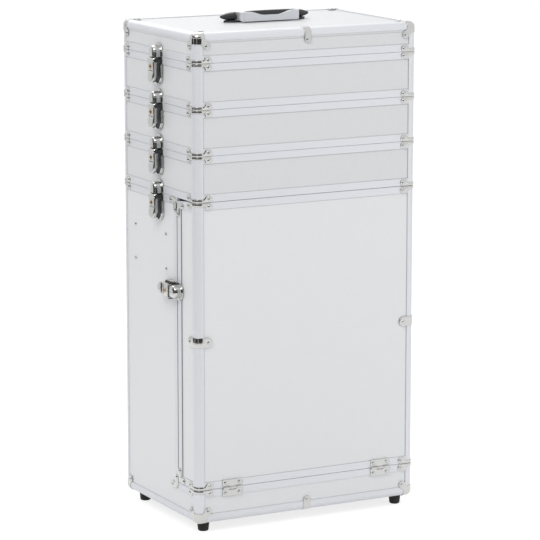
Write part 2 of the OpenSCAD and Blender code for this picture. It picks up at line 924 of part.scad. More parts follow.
module door_frame() {
    high = tray_z - swing_gap;
    back_l = door_back + case_d / 2 - post_leg - seat;
    edge_low = door_low + band_h + seat;
    edge_high = high - band_h - web_t - seat;
    color(aluminium) within_swing() union() {
        at_front_corners() translate([0, 0, door_low]) linear_extrude(high - door_low) post2d();
        translate([0, 0, high]) front_wall(post_leg) top_band2d(false);
        translate([0, 0, door_low]) front_wall(post_leg) door_low_band2d();
        pair([1, 0, 0]) translate([-case_w / 2, -case_d / 2 + post_leg + seat, 0]) {
            translate([0, 0, high]) sweep_y(back_l) return_band2d();
            translate([0, 0, door_low]) sweep_y(back_l) door_low_band2d();
            translate([0, back_l - door_edge_w, edge_low]) linear_extrude(edge_high - edge_low)
                difference() {
                    square([wall_t, door_edge_w]);
                    translate([skin_t, -1]) square([board_t, door_edge_w - web_t + 1]);
                }
        }
    }
}

module door_low_band2d() {
    difference() {
        eased2d(wall_t, band_h);
        translate([skin_t, web_t]) square([board_t, band_h]);
    }
}

// The band on top of a return is taller, so that the swing's cut leaves it whole
module return_band2d() {
    difference() {
        translate([0, -band_h - web_t]) eased2d(wall_t, band_h + web_t);
        translate([skin_t, -band_h - web_t - 1]) square([board_t, band_h - web_t + 1]);
    }
}

module door_corners() {
    within_swing() {
        at_front_corners() translate([0, 0, tray_z - swing_gap]) mirror([0, 0, 1]) bracket_half();
        pair([1, 0, 0]) translate([0, door_back, tray_z - band_h / 2]) mirror([0, 1, 0]) l_plate();
    }
    at_front_corners() {
        translate([0, 0, door_low]) bracket_half();
        translate([0, 0, clip_z - clip_h / 2]) corner_clip();
    }
    pair([1, 0, 0]) translate([0, door_back, door_low + ease]) mirror([0, 0, 1]) mirror([0, 1, 0]) l_plate();
}

module door_catches() pair([1, 0, 0]) at_door_latch() catch();

// Hinges

module at_hinges() {
    pair([1, 0, 0]) translate([-case_w / 2 + hinge_inset, 0, 0]) children();
}

// One leaf over the axis: its knuckles, its plate and two rivets. spans
// lists its knuckles and others the stretches that it leaves free.
module hinge_leaf(spans, others) {
    face_y = -case_d / 2 - seat;
    free_r = barrel_r + knuckle_gap;
    leaf_low = 0.5;
    rivet_in = 5;
    rivet_down = 4.6;
    color(chrome) difference() {
        union() {
            translate([-hinge_half, face_y - leaf_t, axis_z + leaf_low])
                cube([hinge_w, leaf_t, leaf_h - leaf_low]);
            for (s = spans) translate([s[0], 0, 0]) {
                translate([0, axis_y, axis_z]) rotate([0, 90, 0]) cylinder(r = barrel_r, h = s[1] - s[0]);
                translate([0, face_y - leaf_t, axis_z]) cube([s[1] - s[0], leaf_t, barrel_r]);
            }
        }
        for (s = others) translate([s[0], axis_y, axis_z]) rotate([0, 90, 0])
            cylinder(r = free_r, h = s[1] - s[0]);
        translate([-hinge_w, axis_y, axis_z]) rotate([0, 90, 0])
            cylinder(r = hinge_pin_r + run_fit, h = 2 * hinge_w);
    }
    pair([1, 0, 0]) translate([hinge_half - rivet_in, face_y - leaf_t, axis_z + leaf_h - rivet_down])
        rotate([90, 0, 0]) rivet();
}

module hinge_leaves_upper() {
    at_hinges() hinge_leaf([[-knuckle_half, knuckle_half]],
                           [[-hinge_half - 1, -knuckle_half], [knuckle_half, hinge_half + 1]]);
}

module hinge_leaves_lower() {
    inner = knuckle_half + knuckle_gap;
    at_hinges() translate([0, 0, 2 * axis_z]) mirror([0, 0, 1])
        hinge_leaf([[-hinge_half, -inner], [inner, hinge_half]], [[-inner, inner]]);
}

module hinge_pins() {
    color(chrome) at_hinges() translate([-hinge_half, axis_y, axis_z]) rotate([0, 90, 0])
        cylinder(r = hinge_pin_r, h = hinge_w);
}

// Carry handle, folded flat towards the front

// Pointed oval plate with a bullet-shaped boss at each end, and a pivot pin
// that reaches from each boss through the bow's arm
module handle_plate() {
    lens_r = (pow(plate_l / 2, 2) + pow(plate_w / 2, 2)) / plate_w;
    plate_rim = 2;
    tip = 0.12;
    blunt = 1.2;
    steps = 6;
    ogive = [for (i = [0 : steps]) let (t = i / steps)
        [boss_r * (tip + (1 - tip) * cos(90 * pow(t, blunt))), boss_l * t]];
    color(black) translate([0, handle_axis_y, top_z - skin_t]) {
        intersection_for (s = [-1, 1]) translate([0, s * (lens_r - plate_w / 2), 0])
            cylinder(r = lens_r, h = plate_t, $fn = 180);
        pair([1, 0, 0]) translate([boss_x + boss_r / 2, 0, 0]) cylinder(r = boss_r + plate_rim, h = plate_t);
    }
    color(black) pair([1, 0, 0]) translate([boss_x, handle_axis_y, handle_axis_z]) rotate([0, 90, 0]) {
        rotate_extrude() polygon(concat([[0, 0]], ogive, [[0, boss_l]]));
        translate([0, 0, -boss_gap - arm_t]) cylinder(r = handle_pin_r, h = boss_gap + arm_t + 1);
    }
}

// Silver bow: two arms on the pivots and a strip along the grip's front
module handle_bow() {
    dip_l = 0.55 * bow_l;
    dip_r = (dip_l * dip_l / 4 + bow_dip * bow_dip) / (2 * bow_dip);
    strip_z = top_z + curve_gap;
    color(aluminium) difference() {
        union() {
            pair([1, 0, 0]) translate([bow_l / 2 - arm_t, 0, 0]) {
                translate([0, handle_axis_y, handle_axis_z]) rotate([0, 90, 0])
                    cylinder(r = arm_r, h = arm_t);
                translate([0, bow_front, bow_low])
                    cube([arm_t, bow_reach, handle_axis_z + arm_r - ease - bow_low]);
            }
            translate([-bow_l / 2, bow_front, strip_z]) cube([bow_l, bow_t, bow_h]);
        }
        translate([0, bow_front + 2 * bow_t, strip_z + bow_h - bow_dip + dip_r]) rotate([90, 0, 0])
            cylinder(r = dip_r, h = 3 * bow_t, $fn = 180);
        translate([-bow_l, handle_axis_y, handle_axis_z]) rotate([0, 90, 0])
            cylinder(r = handle_pin_r + run_fit, h = 2 * bow_l);
    }
}

// Soft grip behind the strip, rounded on its rear side
module handle_grip() {
    low = bow_low;
    high = top_z + curve_gap + bow_h + 1;
    r = 3;
    color(black) translate([-bow_l / 2 + arm_t, bow_front + bow_t, low]) sweep_x(bow_l - 2 * arm_t) {
        square([grip_d - r, high - low]);
        translate([0, r]) square([grip_d, high - low - 2 * r]);
        for (z = [r, high - low - r]) translate([grip_d - r, z]) circle(r);
    }
}

// Trolley handle

module at_tubes() {
    pair([1, 0, 0]) translate([tube_gap / 2, tube_y, 0]) children();
}

module trolley_sleeves() {
    color(aluminium) at_tubes() translate([0, 0, sleeve_low]) difference() {
        cylinder(r = sleeve_r, h = sleeve_top - sleeve_low);
        translate([0, 0, -1]) cylinder(r = sleeve_r - tube_t, h = sleeve_top - sleeve_low + 2);
    }
}

// Blocks on the back board that hold the sleeves' ends
module trolley_mounts() {
    face_y = case_d / 2 - skin_t;
    around = 3;
    wing = 7;
    d = tube_y + sleeve_r + around - face_y;
    color(black) for (z = [sleeve_low, sleeve_top - mount_h])
        at_tubes() translate([0, 0, z]) difference() {
            translate([-sleeve_r - wing, face_y - tube_y, 0]) cube([2 * (sleeve_r + wing), d, mount_h]);
            translate([0, 0, -1]) cylinder(r = sleeve_r + seat, h = mount_h + 2);
        }
}

module trolley_tubes() {
    low = sleeve_low + tube_end;
    color(aluminium) at_tubes() translate([0, 0, low]) difference() {
        cylinder(r = inner_r, h = trolley_grip_z - low);
        translate([0, 0, -1]) cylinder(r = inner_r - tube_t, h = trolley_grip_z - low + 2);
    }
}

module trolley_grip() {
    r = sleeve_r;
    color(black) difference() {
        union() {
            at_tubes() translate([0, 0, trolley_grip_z]) cylinder(r = r, h = hold_h);
            translate([-tube_gap / 2, tube_y - r, trolley_grip_z]) cube([tube_gap, 2 * r, hold_h]);
        }
        translate([-button_l / 2 - curve_gap, tube_y - button_w / 2 - curve_gap, button_floor_z])
            cube([button_l + 2 * curve_gap, button_w + 2 * curve_gap, hold_h]);
    }
}

module trolley_button() {
    z = button_floor_z + button_travel + curve_gap;
    color(aluminium) translate([-button_l / 2, tube_y - button_w / 2, z])
        cube([button_l, button_w, trolley_grip_z + hold_h + button_travel - z]);
}

// Wheels

module at_wheel(side) translate([side * wheel_x, wheel_y, wheel_z]) rotate([0, 90, 0]) children();

module wheel_tyre() {
    tread = 2;
    color(black) rotate_extrude() difference() {
        union() {
            translate([0, -wheel_w / 2]) square([wheel_r - tread, wheel_w]);
            translate([0, -wheel_w / 2 + tread]) square([wheel_r, wheel_w - 2 * tread]);
            for (s = [-1, 1]) translate([wheel_r - tread, s * (wheel_w / 2 - tread)]) circle(tread);
        }
        translate([-1, -wheel_w]) square([hub_r + seat + 1, 2 * wheel_w]);
    }
}

module wheel_hub() {
    boss_t = 3;
    disc_t = 3;
    rim_t = 2;
    color(aluminium) rotate_extrude() {
        translate([axle_r + run_fit, -wheel_w / 2]) square([boss_t, wheel_w]);
        translate([axle_r + 1, -disc_t / 2]) square([hub_r - axle_r - rim_t, disc_t]);
        translate([hub_r - rim_t, -wheel_w / 2 + 1]) square([rim_t, wheel_w - 2]);
    }
}

// Brackets: a plate on the case's back and two cheeks for the axle
module wheel_brackets() {
    wing = 4;
    low = base_z + edge_r;
    high = sill_z;
    cheek_x = wheel_w / 2 + cheek_gap;
    half_w = cheek_x + cheek_t + wing;
    plate_y = case_d / 2 + seat;
    cheek_y = plate_y + bracket_t + seat;
    cheek_r = 9;
    color(black) for (s = [-1, 1]) translate([s * wheel_x, 0, 0]) difference() {
        union() {
            translate([-half_w, plate_y, low]) cube([2 * half_w, bracket_t, high - low]);
            pair([1, 0, 0]) {
                translate([cheek_x, cheek_y, low])
                    cube([cheek_t, wheel_y - cheek_y, wheel_z + cheek_r - low]);
                translate([cheek_x, wheel_y, wheel_z]) rotate([0, 90, 0]) cylinder(r = cheek_r, h = cheek_t);
            }
        }
        translate([-2 * wheel_w, wheel_y, wheel_z]) rotate([0, 90, 0])
            cylinder(r = axle_r + seat, h = 4 * wheel_w);
    }
}

module wheel_axles() {
    l = wheel_w + 2 * (cheek_gap + cheek_t + collar_l + curve_gap);
    collar_r = axle_r + 1.5;
    color(chrome) for (s = [-1, 1]) at_wheel(s) translate([0, 0, -l / 2]) union() {
        cylinder(r = axle_r, h = l);
        for (z = [0, l - collar_l]) translate([0, 0, z]) cylinder(r = collar_r, h = collar_l);
    }
}

// The pieces

in_frame() base_panels();
in_frame() base_floor();
in_frame() base_fascia();
in_frame() base_posts();
in_frame() base_top_frame();
in_frame() base_edge_frame();
in_frame() base_sill_frame();
in_frame() base_corners();
in_frame() base_runners();
in_frame() rubber_feet();
in_frame() base_latches();
in_frame() hinge_leaves_lower();
in_frame() hinge_pins();
in_frame() wheel_brackets();
in_frame() wheel_axles();
in_frame() at_wheel(-1) wheel_tyre();  // wheel_left_tyre
in_frame() at_wheel(-1) wheel_hub();  // wheel_left_hub
in_frame() at_wheel(1) wheel_tyre();  // wheel_right_tyre
in_frame() at_wheel(1) wheel_hub();  // wheel_right_hub
in_frame() trolley_sleeves();
in_frame() trolley_mounts();
in_frame() trolley_tubes();
in_frame() trolley_grip();
in_frame() trolley_button();
in_frame() door_panels();
in_frame() door_frame();
in_frame() door_corners();
in_frame() hinge_leaves_upper();
in_frame() door_catches();
for (n = [1 : 3]) {
    in_frame() tray(n) tray_panels();
    in_frame() tray(n) tray_frame();
    in_frame() tray(n) tray_corners();
    in_frame() tray(n) tray_latches();
    in_frame() tray(n) at_side(tray_h) lever();
    in_frame() tray(n) mirror([1, 0, 0]) at_side(tray_h) lever();
}
in_frame() translate([0, 0, lid_z]) lid_panels();
in_frame() translate([0, 0, lid_z]) lid_frame();
in_frame() translate([0, 0, lid_z]) lid_corners();
in_frame() translate([0, 0, lid_z]) lid_catches();
in_frame() handle_plate();
in_frame() handle_bow();
in_frame() handle_grip();
in_frame() at_side(tray_z) lever();  // lever_base_right
in_frame() mirror([1, 0, 0]) at_side(tray_z) lever();  // lever_base_left
in_frame() at_door_latch() lever();  // lever_door_right
in_frame() mirror([1, 0, 0]) at_door_latch() lever();  // lever_door_left
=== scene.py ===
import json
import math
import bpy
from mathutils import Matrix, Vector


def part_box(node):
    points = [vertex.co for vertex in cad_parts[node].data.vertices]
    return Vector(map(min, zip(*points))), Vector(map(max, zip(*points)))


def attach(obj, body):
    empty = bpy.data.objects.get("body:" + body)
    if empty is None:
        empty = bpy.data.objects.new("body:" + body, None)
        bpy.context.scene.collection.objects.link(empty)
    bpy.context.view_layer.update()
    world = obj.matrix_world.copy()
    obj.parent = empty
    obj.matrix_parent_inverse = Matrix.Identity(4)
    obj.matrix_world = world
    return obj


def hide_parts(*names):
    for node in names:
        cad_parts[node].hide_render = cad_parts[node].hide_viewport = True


bl_info = {
    "name": "Rolling makeup case",
    "version": (1, 0, 0),
    "blender": (4, 5, 0),
    "location": "View3D > Sidebar > Makeup case",
    "description": "Dresses the packed rolling makeup case with its finishes and fittings",
    "category": "Add Mesh",
}

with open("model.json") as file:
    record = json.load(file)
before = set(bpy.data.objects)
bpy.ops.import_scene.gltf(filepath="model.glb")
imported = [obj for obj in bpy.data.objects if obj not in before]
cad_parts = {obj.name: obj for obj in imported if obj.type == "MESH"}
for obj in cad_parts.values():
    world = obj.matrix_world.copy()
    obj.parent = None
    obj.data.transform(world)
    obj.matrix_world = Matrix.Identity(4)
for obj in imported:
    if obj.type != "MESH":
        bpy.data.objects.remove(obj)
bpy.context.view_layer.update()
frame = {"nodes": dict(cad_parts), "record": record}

import bmesh
import bpy
import numpy as np
from mathutils import Vector

NODES = frame["nodes"]
TURNS = {j["name"]: j for j in frame["record"]["behaviour"]["joints"]}

MM = 0.001
MATH = "ShaderNodeMath"
TRAYS = ("tray_1", "tray_2", "tray_3")
SIDES = ("left", "right")


def box_mm(node):
    """Lowest and highest corner of a CAD node, in millimetres."""
    low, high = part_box(node)
    return np.array(low) / MM, np.array(high) / MM


# The case's walls and joints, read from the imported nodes, in millimetres
LID_LOW, LID_HIGH = box_mm("lid_frame")
HALF_W = LID_HIGH[0]
HALF_D = (LID_HIGH[1] - LID_LOW[1]) / 2
CASE_Y = (LID_HIGH[1] + LID_LOW[1]) / 2
TOP_Z = LID_HIGH[2]
LID_Z = LID_LOW[2]
JOINT_Z = {"lid": LID_Z, **{t: box_mm(f"{t}_frame")[0][2] for t in TRAYS}}
BASE_TOP = JOINT_Z["tray_3"]
BASE_Z = box_mm("base_edge_frame")[0][2]
HINGE_LOW, HINGE_HIGH = box_mm("hinge_pins")
HINGE_Y = (HINGE_LOW[1] + HINGE_HIGH[1]) / 2
SILL_Z = (HINGE_LOW[2] + HINGE_HIGH[2]) / 2
DOOR_LOW, DOOR_HIGH = box_mm("door_frame")
# The line of painted shade at the inner edge of the door's upright profile lies this far in front of its
# joint
DOOR_PROFILE_W = 13.6
DOOR_EDGE_Y = DOOR_HIGH[1] - DOOR_PROFILE_W

# Where the photo shows the rivets in the base's side boards, and the clips round the door's corners
RIVET_Y = (-42.0, 62.0)
RIVET_Z = (384.5, 436.5)
CLIP_Z = 289.0

# How far the profiles reach over the boards: bands at the joints, rounded edges, and upright posts
BAND_H, EDGE_H, POST_LEG = 11, 14, 12.5

# Sheet metal stands this far off the boards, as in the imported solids
SEAT = 0.1

# Faces that meet at a larger angle than this, in degrees, keep a crisp edge
CRISP_ANGLE = 38.0

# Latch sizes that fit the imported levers' turning, outward from the wall and down from the joint: the pivot,
# the lever's face, the step in that face, the lever's end, the notch across it and its key
PIVOT_OUT, PIVOT_DOWN = 10.2, 4.5
LEVER_OUT, LEVER_STEP, LEVER_LOW = 14.2, 0.8, 38.5
NOTCH_DOWN = 20.5
KEY_DOWN, KEY_R = 14.0, 3.1

# Half the width of a hinge and of its middle knuckle, and the gap between two knuckles
HINGE_HALF, KNUCKLE_HALF, KNUCKLE_GAP = 16.5, 5.5, 0.3

# The carry handle's strap lies this far in front of its pivots, and its thickness
STRAP_REACH, STRAP_T = 21.5, 2.2

# Where the photograph was taken from, and its long lens
CAMERA_PLACE = (-2.053, -3.871, 1.179)
CAMERA_AIM = (0.4629, 0.8672, -0.1839)
CAMERA_LENS, CAMERA_SENSOR = 194.3, 36.0

WORLD_LIGHT = 0.68
# Seen by the camera or in a reflection, the floor is this share of its own shade plus this much white
FLOOR_SHADE, FLOOR_LIFT = 0.36, 0.8
FLOOR_HALF = 12.0
# Name, place, width and power of the lamps, and the point that they aim at
LAMPS = (
    ("Key lamp", (-2.4, -1.8, 3.1), 2.2, 58.0),
    ("Fill lamp", (1.9, -2.6, 0.6), 2.4, 24.0),
    ("Back lamp", (0.4, 2.2, 3.0), 2.4, 50.0),
)
LAMP_AIM = (0.0, 0.0, 0.35)
# Parts of the studio that only reflections show, as arcs of a wall: name, radius, lowest and highest height,
# the angles in degrees between which it runs, and its shade. The dark ones draw the stripes in the chrome,
# and the grey one tones down what the latches' faces reflect
STUDIO_WALLS = (
    ("Dark room, left", 1.5, 0.0, 0.85, 139, 176, 0.05),
    ("Dark room, middle", 1.5, 0.0, 0.85, 180, 222, 0.05),
    ("Dark room, right", 1.5, 0.0, 0.85, 225, 284, 0.05),
    ("Dark room, high", 2.6, 1.3, 2.3, 132, 284, 0.05),
    ("Grey room, side", 1.7, 0.0, 1.1, 98, 137, 0.88),
)


def linear(code):
    """sRGB hex code to linear: c / 12.92 below 0.04045, else ((c + 0.055) / 1.055) to the power 2.4."""
    c = [int(code[i:i + 2], 16) / 255 for i in (0, 2, 4)]
    return tuple(v / 12.92 if v <= 0.04045 else ((v + 0.055) / 1.055) ** 2.4 for v in c)


# Settings


def colour(code, name, description):
    """Colour setting, its default from a hex code."""
    return bpy.props.FloatVectorProperty(
        name=name, description=description, subtype="COLOR", size=3, min=0, max=1, default=linear(code)
    )


def size(mm, name, description):
    """Length setting, its default in millimetres."""
    return bpy.props.FloatProperty(
        name=name, description=description, subtype="DISTANCE", unit="LENGTH", default=mm * MM
    )


class CaseColours(bpy.types.PropertyGroup):
    """Colours of the case's finishes."""

    laminate: colour("D9DADC", "Laminate", "Embossed silver laminate on the boards")
    laminate_upper: colour("D3D4D6", "Upper laminate", "The same laminate on the lid and the trays")
    aluminium: colour("D5D7DB", "Aluminium", "Satin anodised profiles")
    # The same colour draws the painted shade line along the edge of the door's upright profile
    joint_and_shade: colour("818184", "Joint lines", "Dark lines along the profiles where two units meet")
    chrome: colour("C7C7C5", "Chrome", "Plated corner fittings, latches and hinges")
    brass: colour("D2A851", "Brass", "Key cylinders of the latches")
    plastic: colour("262628", "Black plastic", "Handle plate, grips and wheel brackets")
    lining: colour("242426", "Lining", "Black lining of the boards' inner faces")
    rubber: colour("171718", "Rubber", "Feet and wheel treads")
    hub: colour("8A8B8E", "Wheel hubs", "Grey moulded hubs")
    floor: colour("EFEFF0", "Floor", "Plain pale studio floor")


class CaseSizes(bpy.types.PropertyGroup):
    """Sizes of the fittings and of the finishes' patterns."""

    corner: size(10, "Corner radius", "Radius of the upright corners, in plan")
    edge: size(8, "Edge radius", "Radius of the rounded edges under the base and on the lid")
    sheet: size(0.9, "Fitting thickness", "Thickness of the corner fittings' sheet")
    rim: size(0.4, "Rolled rim", "Radius of the fittings' rolled rims")
    cap_ear: size(18.5, "Cap rivet distance", "Distance of a corner cap's rivets from the edges")
    cap_ear_r: size(5.5, "Cap ear radius", "Radius of a corner cap's ears")
    cap_side: size(16, "Cap reach", "How far a corner cap reaches along the case's edges")
    strip: size(5, "Bracket strip", "Height of a bracket's strip round the corner")
    ear: size(21.5, "Bracket rivet distance", "Distance of a bracket's rivet from the corner")
    ear_r: size(5.1, "Bracket ear radius", "Radius of a bracket's ears")
    rivet_r: size(2.9, "Rivet radius", "Radius of a rivet's head")
    rivet_h: size(1.7, "Rivet height", "Height of a rivet's head")
    latch_w: size(27, "Latch width", "Width of a latch's plates")
    lever_w: size(20, "Lever width", "Width of a latch's lever and hood")
    latch_l: size(42, "Latch length", "Length of a latch below the joint")
    catch_l: size(20, "Catch length", "Length of a latch above the joint")
    latch_t: size(1.2, "Latch sheet", "Thickness of the latches' sheet")
    emboss: size(3.6, "Emboss pitch", "Distance between the ridges of the laminate's diamonds")
    rib: size(4.4, "Rib pitch", "Distance between the soft ribs along the level profiles")
    joint_line: size(0.3, "Joint line", "Half width of the dark line where two units meet")
    draw_line: size(0.35, "Draw line width", "Width of the fine lines along the profiles")


def colours():
    """The scene's colour settings."""
    return bpy.context.scene.case_colours


def in_mm(*names):
    """The named sizes in millimetres."""
    values = [getattr(bpy.context.scene.case_sizes, n) / MM for n in names]
    return values[0] if len(values) == 1 else values


# Surfaces: points in millimetres, as whole arrays, and the faces between them


def grid_faces(rows, columns, around=False):
    """Quads between neighbouring rows of points; around joins the last column to the first."""
    i = np.arange(rows - 1)[:, None] * columns
    j = np.arange(columns if around else columns - 1)[None, :]
    k = (j + 1) % columns
    return np.stack([i + j, i + k, i + columns + k, i + columns + j], -1).reshape(-1, 4)


def loft(rings):
    """Surface through closed rings, rows by columns by 3. A ring drawn to one point closes an end."""
    rows, columns, _ = rings.shape
    return rings.reshape(-1, 3), grid_faces(rows, columns, True)


def closed_loft(rings):
    """A loft whose first and last ring are filled, each by a ring drawn to its middle."""
    first, last = (np.broadcast_to(rings[i].mean(0), rings[i].shape) for i in (0, -1))
    return loft(np.concatenate([first[None], rings, last[None]]))


def placed(origin, along, up, out):
    """Function from (s, z, h) to origin + s along + z up + h out: s and z run on a wall, h stands off it."""
    base = np.array([along, up, out], float)
    return lambda s, z, h: np.array(origin, float) + np.stack(np.broadcast_arrays(s, z, h), -1) @ base


def axis_place(centre, out):
    """The same for what is turned round an axis: h runs along the unit vector out, and s and z across it."""
    side = np.cross(out, (0.3, 0.5, 0.81))
    side /= np.linalg.norm(side)
    return placed(centre, side, np.cross(out, side), out)


def bent(s, h, r, middle):
    """Points of a line bent a quarter turn round the origin; s = 0 lies at the angle middle, in degrees.

    Up to a quarter of pi times the radius r, s turns round the origin by s / r; past that it runs on
    straight. h is added to the radius, or stands off the straight stretch.
    """
    turn = np.clip(s / r, -math.pi / 4, math.pi / 4)
    run = s - turn * r
    angle = math.radians(middle) + turn
    cos, sin = np.cos(angle), np.sin(angle)
    return (r + h) * cos - run * sin, (r + h) * sin + run * cos


def corner_place(x_side, y_side, z, up):
    """Function from (s, z, h) to an upright corner: s runs round it, positive on the front or back."""
    r = in_mm("corner")

    def place(s, rise, h):
        s, rise, h = np.broadcast_arrays(s, rise, h)
        x, y = bent(s, h, r, 225)
        return np.stack([x_side * (HALF_W - r - x), CASE_Y + y_side * (HALF_D - r - y), z + up * rise], -1)

    return place


def edge_place(y_side, z, up):
    """Function from (s, x, h) over a wall's rounded edge: s is negative on the wall, positive past it."""
    r = in_mm("edge")

    def place(s, across, h):
        s, across, h = np.broadcast_arrays(s, across, h)
        out, rise = bent(s, h, r, 45)
        return np.stack([across, CASE_Y + y_side * (HALF_D - r + out), z + up * (rise - r)], -1)

    return place


def smooth(x, a, b):
    """0 below a, 1 above b, and 3 t squared - 2 t cubed between."""
    t = np.clip((x - a) / (b - a), 0, 1)
    return t * t * (3 - 2 * t)


def circle_at(x, r):
    """Half width of a circle at x from its middle: square root of (r squared - x squared), or 0."""
    return np.sqrt(np.maximum(r * r - x * x, 0))


def both_ways(half):
    """Stations on both sides of 0 from those on one."""
    return np.concatenate([-half[::-1], [0], half])


def strip_ends(start, end, half, start_r, end_r, steps=8, between=3):
    """Stations and half widths of a strip whose ends have round corners.

    At a corner of radius r, w = half - r + r sin t and s = r (1 - cos t), t going from 0 to a right angle.
    """
    t = np.linspace(0, math.pi / 2, steps)
    s = np.concatenate([
        [start], start + start_r * (1 - np.cos(t)),
        np.linspace(start + start_r, end - end_r, between + 2)[1:-1],
        end - end_r * (1 - np.cos(t[::-1])), [end],
    ])
    w = np.concatenate([
        [0], half - start_r + start_r * np.sin(t), np.full(between, half),
        half - end_r + end_r * np.sin(t[::-1]), [0],
    ])
    return s, w


def outline_of(s, low, high):
    """Closed outline along the low edge and back along the high one, its middle line and inward normals."""
    middle = (low + high) / 2
    loop = np.concatenate([np.stack([s, low], 1), np.stack([s, high], 1)[-2:0:-1]])
    spine = np.concatenate([np.stack([s, middle], 1), np.stack([s, middle], 1)[-2:0:-1]])
    tangent = np.roll(loop, -1, 0) - np.roll(loop, 1, 0)
    tangent /= np.maximum(np.linalg.norm(tangent, axis=1, keepdims=True), 1e-9)
    inward = np.stack([-tangent[:, 1], tangent[:, 0]], 1)
    return loop, spine, inward


def round_edge(r, high, steps=4):
    """Insets and heights over a rounded edge: r (1 - cos t) and high - r (1 - sin t), t from 0 to 90."""
    t = np.linspace(0, math.pi / 2, steps)
    return list(zip(r * (1 - np.cos(t)), high - r * (1 - np.sin(t))))


def plate(s, low, high, thick, rim, place, lift=SEAT, crown=0.0):
    """Pressed sheet between the edge curves low and high over the stations s, which meet at both ends.

    Its rings are the outline moved inward by d and off the wall by h: straight up, round a quarter circle
    of radius rim, then in to the line halfway between the edges, where the last ring closes on itself.
    crown raises that line over the rim by crown (1 - f squared), f being 1 at the rim and 0 on the line.
    """
    loop, spine, inward = outline_of(s, low, high)
    steps = [(0, lift, 1.0)] + [(inset, h, 1.0) for inset, h in round_edge(rim, lift + thick)]
    steps += [(rim, lift + thick + crown * (1 - f * f), f) for f in (0.98, 0.75, 0.5, 0.25, 0.0)]
    rings = [place(spine[:, 0], spine[:, 1], lift)]
    for inset, h, f in steps:
        flat = spine + (loop + inset * inward - spine) * f
        rings.append(place(flat[:, 0], flat[:, 1], h))
    return loft(np.stack(rings))


def revolve(profile, place, around=24):
    """A profile of (radius, height) turned round the height axis of place."""
    profile = np.array(profile, float)
    a = np.linspace(0, 2 * math.pi, around, endpoint=False)
    r, h = profile[:, 0][:, None], profile[:, 1][:, None]
    return loft(place(r * np.cos(a), r * np.sin(a), h + 0 * a))


def rivet(centre, out, r=None, h=None):
    """Rivet head on a point, along the unit vector out: r cos t, and 3 h / 4 sin t over an upright edge."""
    r, h = r or in_mm("rivet_r"), h or in_mm("rivet_h")
    t = np.linspace(0, math.pi / 2, 5)
    profile = [(0, 0), (r, 0), *zip(r * np.cos(t), h / 4 + 3 * h / 4 * np.sin(t))]
    return revolve(profile, axis_place(centre, out), 16)


def rivet_at(place, s, z, lift, r=None, h=None):
    """Rivet head on a plate, standing on the height lift."""
    centre = place(s, z, lift)
    return rivet(centre, place(s, z, lift + 1) - centre, r, h)


def riveted(place, s, low, high, rivets, crown=0.35):
    """Fitting of the corners' sheet between the edges low and high, with a rivet at each (s, z)."""
    sheet, rim = in_mm("sheet", "rim")
    forms = [plate(s, low, high, sheet, rim, place, crown=crown)]
    return joined(forms + [rivet_at(place, *at, SEAT + sheet) for at in rivets])


def rod(start, end, r, ease=0.3):
    """Round bar between two points, its ends eased by a chamfer."""
    start, end = np.array(start, float), np.array(end, float)
    length = np.linalg.norm(end - start)
    profile = [(0, 0), (r - ease, 0), (r, ease), (r, length - ease), (r - ease, length), (0, length)]
    return revolve(profile, axis_place(start, (end - start) / length))


def block(low, high, r, place):
    """Block with round edges.

    Each ring is a rectangle with round corners of radius r cos b, and its height is r sin b past the end
    planes' inset, b going from -90 to 90 degrees.
    """
    low, high = np.array(low, float), np.array(high, float)
    half, middle = (high - low) / 2, (high + low) / 2
    quarter = np.linspace(0, math.pi / 2, 4)
    b = np.concatenate([-quarter[::-1], quarter])
    end = np.repeat([-1, 1], 4)
    a = np.concatenate([quarter + k * math.pi / 2 for k in range(4)])
    x_side, y_side = np.repeat([1, -1, -1, 1], 4), np.repeat([1, 1, -1, -1], 4)
    rr = r * np.cos(b)[:, None]
    x = middle[0] + x_side * (half[0] - r) + rr * np.cos(a)
    y = middle[1] + y_side * (half[1] - r) + rr * np.sin(a)
    z = (middle[2] + end * (half[2] - r) + r * np.sin(b))[:, None] + 0 * a
    return closed_loft(place(x, y, z))


def hollow(curve, spine, inward, profile, wall, place):
    """Open-ended cover: a profile of (inset, height, f) carried along a curve. f falls to 0 on the spine.

    The outer grid follows the profile and the inner one lies the wall's thickness inside it; strips join
    them along the foot and at the curve's two ends.
    """
    grids = []
    for depth in (0.0, wall):
        lines = []
        for inset, height, f in profile:
            flat = spine + (curve + (inset + depth) * inward - spine) * f
            lines.append(place(height - (depth if inset > 0 or f < 1 else 0), flat[:, 0], flat[:, 1]))
        grids.append(np.stack(lines))
    outer, inner = grids
    rows, columns, _ = outer.shape
    forms = [(grid.reshape(-1, 3), grid_faces(rows, columns)) for grid in grids]
    for a, b in ((outer[0], inner[0]), (outer[:, 0], inner[:, 0]), (outer[:, -1], inner[:, -1])):
        forms.append((np.concatenate([a, b]), grid_faces(2, len(a))))
    return joined(forms)


def joined(forms):
    """Several forms as one."""
    points, faces, start = [], [], 0
    for p, f in forms:
        points.append(p)
        faces.append(f + start)
        start += len(p)
    return np.concatenate(points), np.concatenate(faces)


def linked(name, data):
    """New object with its data, in the scene."""
    holder = bpy.data.objects.new(name, data)
    bpy.context.scene.collection.objects.link(holder)
    return holder


def make(name, forms, finish_name, body, replaced=()):
    """One piece of the case: merges the seams, turns the faces outward, gives it its finish and body."""
    points, faces = joined(forms)
    mesh = bpy.data.meshes.new(name)
    mesh.from_pydata((points * MM).tolist(), [], faces.tolist())
    work = bmesh.new()
    work.from_mesh(mesh)
    bmesh.ops.remove_doubles(work, verts=work.verts, dist=2e-6)
    bmesh.ops.recalc_face_normals(work, faces=work.faces)
    work.to_mesh(mesh)
    work.free()
    mesh.polygons.foreach_set("use_smooth", [True] * len(mesh.polygons))
    mesh.set_sharp_from_angle(angle=math.radians(CRISP_ANGLE))
    mesh.materials.append(finish(finish_name))
    piece = linked(name, mesh)
    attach(piece, body)
    if replaced:
        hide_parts(*replaced)


